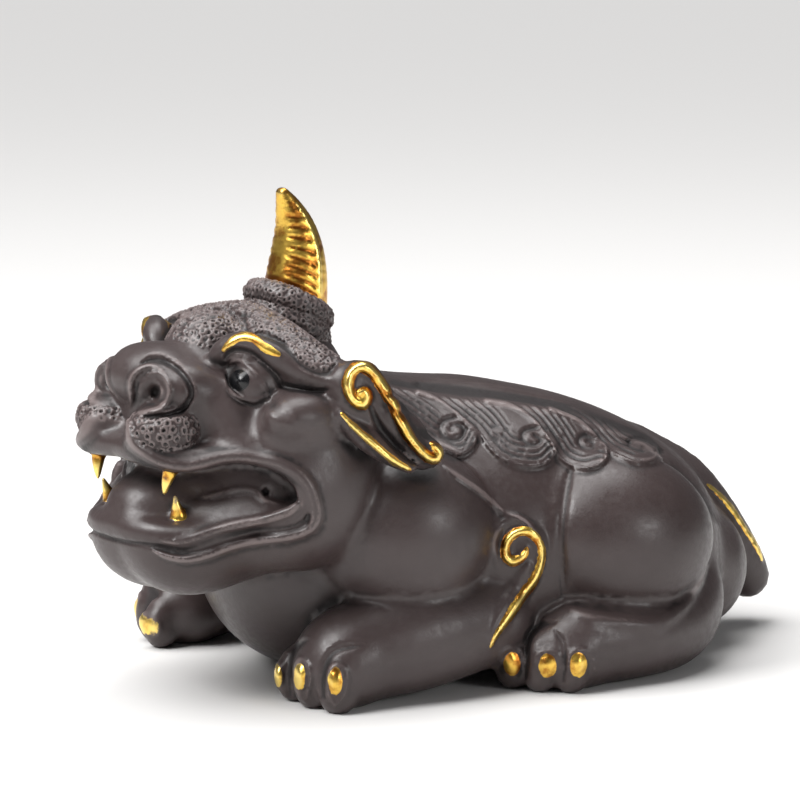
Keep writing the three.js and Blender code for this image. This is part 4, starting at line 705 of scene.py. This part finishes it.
longest = np.zeros(0)
for _ in range(ROUNDS):
    P, E, T = read(body)
    longest = np.append(longest, wanted(P[len(longest):]))
    length = np.linalg.norm(P[E[:, 0]] - P[E[:, 1]], axis=1)
    below = (P[E, 2] < UNDERSIDE).all(1)
    long = np.flatnonzero((length > TOO_LONG * longest[E].mean(1)) & ~below)
    if len(long) < FEW:
        break
    body.edges.ensure_lookup_table()
    bmesh.ops.subdivide_edges(body, edges=[body.edges[i] for i in long], cuts=1, use_grid_fill=True)
    bmesh.ops.triangulate(body, faces=body.faces)
    bmesh.ops.beautify_fill(body, faces=body.faces, edges=body.edges, method="ANGLE")
    P, E, T = read(body)
    P = settle(P, E, T, 1)
    for v, p in zip(body.verts, P):
        v.co = p
P, E, T = read(body)
P = settle(P, E, T, 3)


# The grain is small craters pressed close together, over the lip's pads, forehead, crown and
# collar. Combed lines follow each lock of the mane, and ribs cross the front of the horn.

# craters: how wide, how close as a share of that, and their rims and pits, measured in half widths
GRAIN = {"pad": 1.65, "lobe": 1.55, "crown": 1.3, "collar": 1.3}
CLOSE = 0.74
RIM_AT, RIM_WIDTH, RIM_HEIGHT = 0.6, 0.25, 0.4
PIT_WIDTH, PIT_DEPTH = 0.34, 0.34
# combed lines: their spacing and depth, and how far in from a lock's edge they are full and end
COMB, COMB_DEPTH = 1.0, 0.3
COMB_FULL, COMB_END, COMB_SPAN = 4.8, 6, 8
# ribs: how many over which height, their depth, and the keel behind them, in degrees from the front
RIBS, RIBBED, RIB_DEPTH = 10, 17.5, 0.24
KEEL_AT, KEEL_WIDTH, KEEL_HEIGHT = 101, 6, 0.25
# how far in and out of the clay is felt for what stands proud, and the share of the fine relief in it
INWARD, OUTWARD, RELIEF_SHOWN = 1.2, 1.6, 2.6
# how far round a form its distance is worked out, and what stands for all that is farther
ROUND_IT, FAR = 3, 9.0

B, F, H = in_body(P), in_foreleg(P), in_head(P)
N = normals(P, T)
# how far each point stands proud of what is round it, an occlusion measure: proud edges get wear and painted
# highlight, hollows get painted shade
proud = (1 + figure(P - INWARD * N) / INWARD) - (1 - figure(P + OUTWARD * N) / OUTWARD)


def off(s, Q):
    near = np.flatnonzero(np.linalg.norm(Q - s["centre"], axis=1) < s["reach"] + ROUND_IT)
    d = np.full(len(Q), FAR)
    d[near] = s["distance"](Q[near])
    return d


away = {name: off(s, H) for name, s in named.items() if "distance" in s}
across, height = H @ FACE["right"], H @ FACE["up"]
line = [[6, 8, 61], [9.4, 8.2, 60.8], [11, 9.8, 63.5], *hairline[:-1], [27, 24, 62], [27, 30, 66]]
line = np.array([[np.dot(FACE["right"], k), np.dot(FACE["up"], k)] for k in line])
above = height - np.interp(across, line[:, 0], line[:, 1])
on_horn = np.where(away["horn"] < 5, np.minimum(away["collar_low"], away["collar_top"]) - away["horn"], -1)
hair = smooth(0.1, 0.7, above) * smooth(0.0, -0.5, on_horn)

# where each kind of grain lies, from 0 outside it to 1 inside
zones = {
    "pad": smooth(0.6, 0.3, np.abs(away["pad"])) * smooth(8, 6, H[:, 1]) * smooth(51.9, 51.2, H[:, 2]),
    "lobe": smooth(0.6, 0.3, np.abs(away["lobe"])) * smooth(-0.2, 0.4, above + 5 * smooth(9, 6, H[:, 0])),
    "crown": smooth(2.6, 1.8, np.abs(away["crown"])) * hair * smooth(34, 31, H[:, 1]),
    "collar": smooth(0.6, 0.3, np.minimum(np.abs(away["collar_low"]), np.abs(away["collar_top"]))) * hair,
}
order = np.random.default_rng(7)
relief, pit_shade = np.zeros(len(P)), np.zeros(len(P))
taken = np.zeros(len(P), bool)
for name, zone in zones.items():
    chosen = np.flatnonzero((zone > 0.3) & ~taken)
    taken[chosen] = True
    near = KDTree(len(chosen))
    for i, v in enumerate(chosen):
        near.insert(P[v], i)
    near.balance()
    free = np.ones(len(chosen), bool)
    centres = []
    for i in order.permutation(len(chosen)):
        if free[i]:
            centres.append(P[chosen[i]])
            for _, j, _ in near.find_range(centres[-1], CLOSE * GRAIN[name]):
                free[j] = False
    craters = KDTree(len(centres))
    for i, c in enumerate(centres):
        craters.insert(c, i)
    craters.balance()
    u = np.array([craters.find(P[v])[2] for v in chosen]) / (0.5 * GRAIN[name])
    rim, pit = np.exp(-(((u - RIM_AT) / RIM_WIDTH) ** 2)), np.exp(-((u / PIT_WIDTH) ** 2))
    relief[chosen] += zone[chosen] * (RIM_HEIGHT * rim - PIT_DEPTH * pit)
    # the crater pits, kept for the painted shade that darkens them
    pit_shade[chosen] = zone[chosen] * pit

# combed lines, which fade towards the edge of their lock and leave its curl clear
for lock, curl, edge in zip(locks, curls, fields):
    d = COMB_SPAN * stroke(SIDE, 1, COMB_SPAN, lock[:-2], 3)["gap"](B)
    inside = smooth(0.2, -0.5, prism(SIDE, edge)["distance"](B)) * (B[:, 2] > LOCKS_LOW)
    inside *= smooth(COMB_END, COMB_FULL, d)
    beyond, over = (B - curl[-1]) @ SIDE["right"], (B - curl[-1]) @ SIDE["up"]
    inside *= smooth(2, 2.8, np.hypot(beyond, over)) * (1 - smooth(0, 1.5, over) * smooth(-2.5, -1, beyond))
    relief -= COMB_DEPTH * inside * (0.5 - 0.5 * np.cos(2 * math.pi * d / COMB)) ** 2

# ribs and keels of the horn
axis = named["horn"]["path"]
mid = np.array([np.interp(H[:, 2], axis[:, 2], axis[:, m]) for m in (0, 1)]).T
turn = np.degrees(np.arctan2(H[:, 0] - mid[:, 0], mid[:, 1] - H[:, 1]))
horned = smooth(0, 0.5, on_horn) * smooth(66, 69, H[:, 2])
ribbed = smooth(15, 42, np.abs(turn)) * smooth(97, 90, np.abs(turn)) * horned * smooth(85.5, 82, H[:, 2])
up_horn = H[:, 2] - 69.5 + 0.5 * (H[:, 1] - 31) * smooth(84, 70, H[:, 2])
relief -= ribbed * RIB_DEPTH * (0.5 - 0.5 * np.cos(2 * math.pi * RIBS * up_horn / RIBBED)) ** 2
keel = np.exp(-(((np.abs(turn) - KEEL_AT) / KEEL_WIDTH) ** 2))
relief += horned * KEEL_HEIGHT * keel * smooth(87, 84, H[:, 2])
P = P + N * relief[:, None]
proud += RELIEF_SHOWN * relief

# where gold is laid, in millimetres inside its edge, and the black of the pupils
gold = np.where((H[:, 2] > 66) & (away["horn"] < 1), np.minimum(on_horn + 0.3, 1), -1)
for steps, Q in ((head["steps"], H), (body_lines, F)):
    for s in steps:
        if "gold" in s and "width" in s:
            gap = s["gap"](Q)
            gold = np.maximum(gold, np.where(gap < 1, s["gold"] - s["width"] * gap, -1))
        elif "gold" in s and "distance" in s:
            gold = np.maximum(gold, s["gold"] - off(s, Q))
pupil = named["pupil"]["width"] - named["pupil"]["width"] * named["pupil"]["gap"](H)

for v, p in zip(body.verts, (P - middle) * stretch * LONGER / 1000):
    v.co = p
# the rim of the underside is the one sharp edge
for e in body.edges:
    flat = [all(v.co.z < UNDERSIDE / 1000 for v in f.verts) for f in e.link_faces]
    e.smooth = sum(flat) != 1
skin = bpy.data.meshes.new("pixiu")
body.to_mesh(skin)
body.free()
skin.shade_smooth()
for name, values in {"gold": gold, "pupil": pupil, "proud": proud, "pit_shade": pit_shade}.items():
    skin.attributes.new(name, "FLOAT", "POINT").data.foreach_set("value", values.astype(np.float32))
pixiu = bpy.data.objects.new("pixiu", skin)
bpy.context.scene.collection.objects.link(pixiu)
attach(pixiu, "root")
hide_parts("pixiu_figure")

# The finish: dark purple-brown stoneware, its proud edges painted paler, partly as wear burnished by handling
# and partly as painted highlight, its hollows rougher and, with the crater pits, darkened as painted shade,
# with gold leaf laid by hand on the details and black glaze on the pupils.
CLAY, CLAY_PALER = (0.040, 0.027, 0.026, 1), (0.056, 0.041, 0.040, 1)
# the paler clay of proud edges is partly wear and partly painted highlight; the two darker clays are painted
# shade in hollows and in crater pits
CLAY_WEAR_AND_HIGHLIGHT, CLAY_PAINTED_SHADE = (0.150, 0.118, 0.114, 1), (0.014, 0.010, 0.010, 1)
CLAY_PIT_SHADE = (0.010, 0.007, 0.007, 1)
LEAF_THIN, LEAF = (0.48, 0.19, 0.03, 1), (0.86, 0.55, 0.10, 1)
# the paler gold of proud edges is partly wear and partly painted highlight; the darker gold is painted shade
# in hollows
LEAF_WEAR_AND_HIGHLIGHT, LEAF_PAINTED_SHADE = (1.0, 0.74, 0.22, 1), (0.35, 0.12, 0.02, 1)
GLAZE = (0.004, 0.004, 0.005, 1)

stoneware = bpy.data.materials.new("stoneware")
stoneware.use_nodes = True
nodes, links = stoneware.node_tree.nodes, stoneware.node_tree.links
shader = nodes["Principled BSDF"]


def node(kind, **settings):
    made = nodes.new(kind)
    for name, value in settings.items():
        if hasattr(made, name):
            setattr(made, name, value)
        else:
            made.inputs[name.replace("_", " ")].default_value = value
    return made


def attribute(name):
    return node("ShaderNodeAttribute", attribute_name=name).outputs["Fac"]


def ranged(value, low, high, to_low=0.0, to_high=1.0):
    made = node("ShaderNodeMapRange", interpolation_type="SMOOTHSTEP")
    for socket, number in zip(("From Min", "From Max", "To Min", "To Max"), (low, high, to_low, to_high)):
        made.inputs[socket].default_value = number
    links.new(value, made.inputs["Value"])
    return made.outputs["Result"]


def reckon(kind, a, b):
    made = node("ShaderNodeMath", operation=kind)
    for socket, value in zip(made.inputs, (a, b)):
        if isinstance(value, (int, float)):
            socket.default_value = value
        else:
            links.new(value, socket)
    return made.outputs[0]


def mixed(amount, a, b):
    made = node("ShaderNodeMix", data_type="RGBA")
    for socket, value in ((made.inputs[0], amount), (made.inputs[6], a), (made.inputs[7], b)):
        if isinstance(value, (tuple, float)):
            socket.default_value = value
        else:
            links.new(value, socket)
    return made.outputs[2]


def noise(scale, detail=3.0, rough=0.55):
    made = node("ShaderNodeTexNoise", Scale=scale, Detail=detail, Roughness=rough)
    links.new(place, made.inputs["Vector"])
    return made.outputs["Fac"]


place = nodes.new("ShaderNodeTexCoord").outputs["Object"]
cloudy, fine, leaf = noise(45.0), noise(900.0), noise(420.0, 4.0)
proud_of = attribute("proud")
# wear and painted highlight: the clay is paler where the skin stands proud of what is round it
wear_and_highlight = ranged(reckon("ADD", proud_of, reckon("MULTIPLY", fine, 0.1)), 0.15, 0.75)
# painted shade: the clay is darker where the skin is occluded, in hollows, creases and under rolls; the same
# mask makes it rougher there
occlusion_shade = ranged(proud_of, -0.08, -0.6)
clay = mixed(ranged(cloudy, 0.35, 0.65), CLAY, CLAY_PALER)
clay = mixed(wear_and_highlight, clay, CLAY_WEAR_AND_HIGHLIGHT)
clay = mixed(occlusion_shade, clay, CLAY_PAINTED_SHADE)
# painted shade in the crater pits
clay = mixed(attribute("pit_shade"), clay, CLAY_PIT_SHADE)
ragged = reckon("MULTIPLY", reckon("SUBTRACT", leaf, 0.5), 0.7)
laid = ranged(reckon("ADD", attribute("gold"), ragged), -0.05, 0.08)
leafed = mixed(ranged(leaf, 0.36, 0.6), LEAF_THIN, LEAF)
# wear and painted highlight: the gold is paler where it stands proud
leafed = mixed(ranged(proud_of, 0.1, 0.5), leafed, LEAF_WEAR_AND_HIGHLIGHT)
# painted shade: the gold is darker in hollows
leafed = mixed(ranged(proud_of, -0.1, -0.5), leafed, LEAF_PAINTED_SHADE)
black = ranged(attribute("pupil"), 0.1, 0.25)
links.new(mixed(black, mixed(laid, clay, leafed), GLAZE), shader.inputs["Base Color"])
links.new(laid, shader.inputs["Metallic"])
dull = reckon("ADD", ranged(fine, 0.3, 0.7, 0.32, 0.44), reckon("MULTIPLY", occlusion_shade, 0.2))
dull = reckon("ADD", reckon("MULTIPLY", dull, reckon("SUBTRACT", 1.0, laid)), reckon("MULTIPLY", laid, 0.3))
links.new(reckon("MULTIPLY", dull, ranged(black, 0.0, 1.0, 1.0, 0.65)), shader.inputs["Roughness"])
grit = node("ShaderNodeBump", Strength=0.25, Distance=0.0001)
links.new(noise(2600.0, 2.0), grit.inputs["Height"])
creased = node("ShaderNodeBump", Distance=0.0002)
links.new(reckon("MULTIPLY", laid, 0.5), creased.inputs["Strength"])
links.new(leaf, creased.inputs["Height"])
links.new(grit.outputs["Normal"], creased.inputs["Normal"])
links.new(creased.outputs["Normal"], shader.inputs["Normal"])
skin.materials.append(stoneware)

# What it stands on and how it is lit, which aren't part of the figure: a plain pale floor,
# broad soft lamps, and the camera in front of its left side.
PALE, PALE_SHEEN = (0.72, 0.71, 0.70, 1), 0.75
SKY, SKY_STRENGTH = (0.80, 0.82, 0.85, 1), 0.16
SUN_STRENGTH, SUN_WIDTH = 3.2, 0.9
LIT = Vector((0, 0, 0.04))

floor_mesh = bpy.data.meshes.new("floor")
ground = bmesh.new()
bmesh.ops.create_grid(ground, x_segments=1, y_segments=1, size=12)
ground.to_mesh(floor_mesh)
ground.free()
floor = bpy.data.objects.new("floor", floor_mesh)
bpy.context.scene.collection.objects.link(floor)
pale = bpy.data.materials.new("pale_floor")
pale.use_nodes = True
pale.node_tree.nodes["Principled BSDF"].inputs["Base Color"].default_value = PALE
pale.node_tree.nodes["Principled BSDF"].inputs["Roughness"].default_value = PALE_SHEEN
floor_mesh.materials.append(pale)

world = bpy.data.worlds.new("studio")
bpy.context.scene.world = world
world.use_nodes = True
world.node_tree.nodes["Background"].inputs["Color"].default_value = SKY
world.node_tree.nodes["Background"].inputs["Strength"].default_value = SKY_STRENGTH
sun = bpy.data.objects.new("overhead", bpy.data.lights.new("overhead", "SUN"))
sun.data.energy = SUN_STRENGTH
sun.data.angle = SUN_WIDTH
sun.rotation_euler = (0.45, -0.1, 0.0)
bpy.context.scene.collection.objects.link(sun)
for name, place_of, size, power in (
    ("key", (0.10, -0.75, 0.70), 0.40, 6.0),
    ("top", (-0.15, 0.15, 0.85), 0.45, 3.5),
    ("side", (0.85, 0.45, 0.30), 0.30, 2.0),
):
    lamp = bpy.data.lights.new(name, "AREA")
    lamp.size = size
    lamp.energy = power
    holder = bpy.data.objects.new(name, lamp)
    holder.location = place_of
    holder.rotation_euler = (LIT - holder.location).to_track_quat("-Z", "Y").to_euler()
    bpy.context.scene.collection.objects.link(holder)

camera = bpy.data.objects.new("camera", bpy.data.cameras.new("camera"))
camera.data.lens = 155.0
camera.data.clip_start, camera.data.clip_end = 0.05, 10
camera.location = (0.569255, -0.255643, 0.142744)
aim = Vector((0.025954, -0.017832, 0.052021)) - camera.location
camera.rotation_euler = aim.to_track_quat("-Z", "Y").to_euler()
bpy.context.scene.collection.objects.link(camera)
bpy.context.scene.camera = camera
bpy.context.scene.view_settings.view_transform = "Standard"
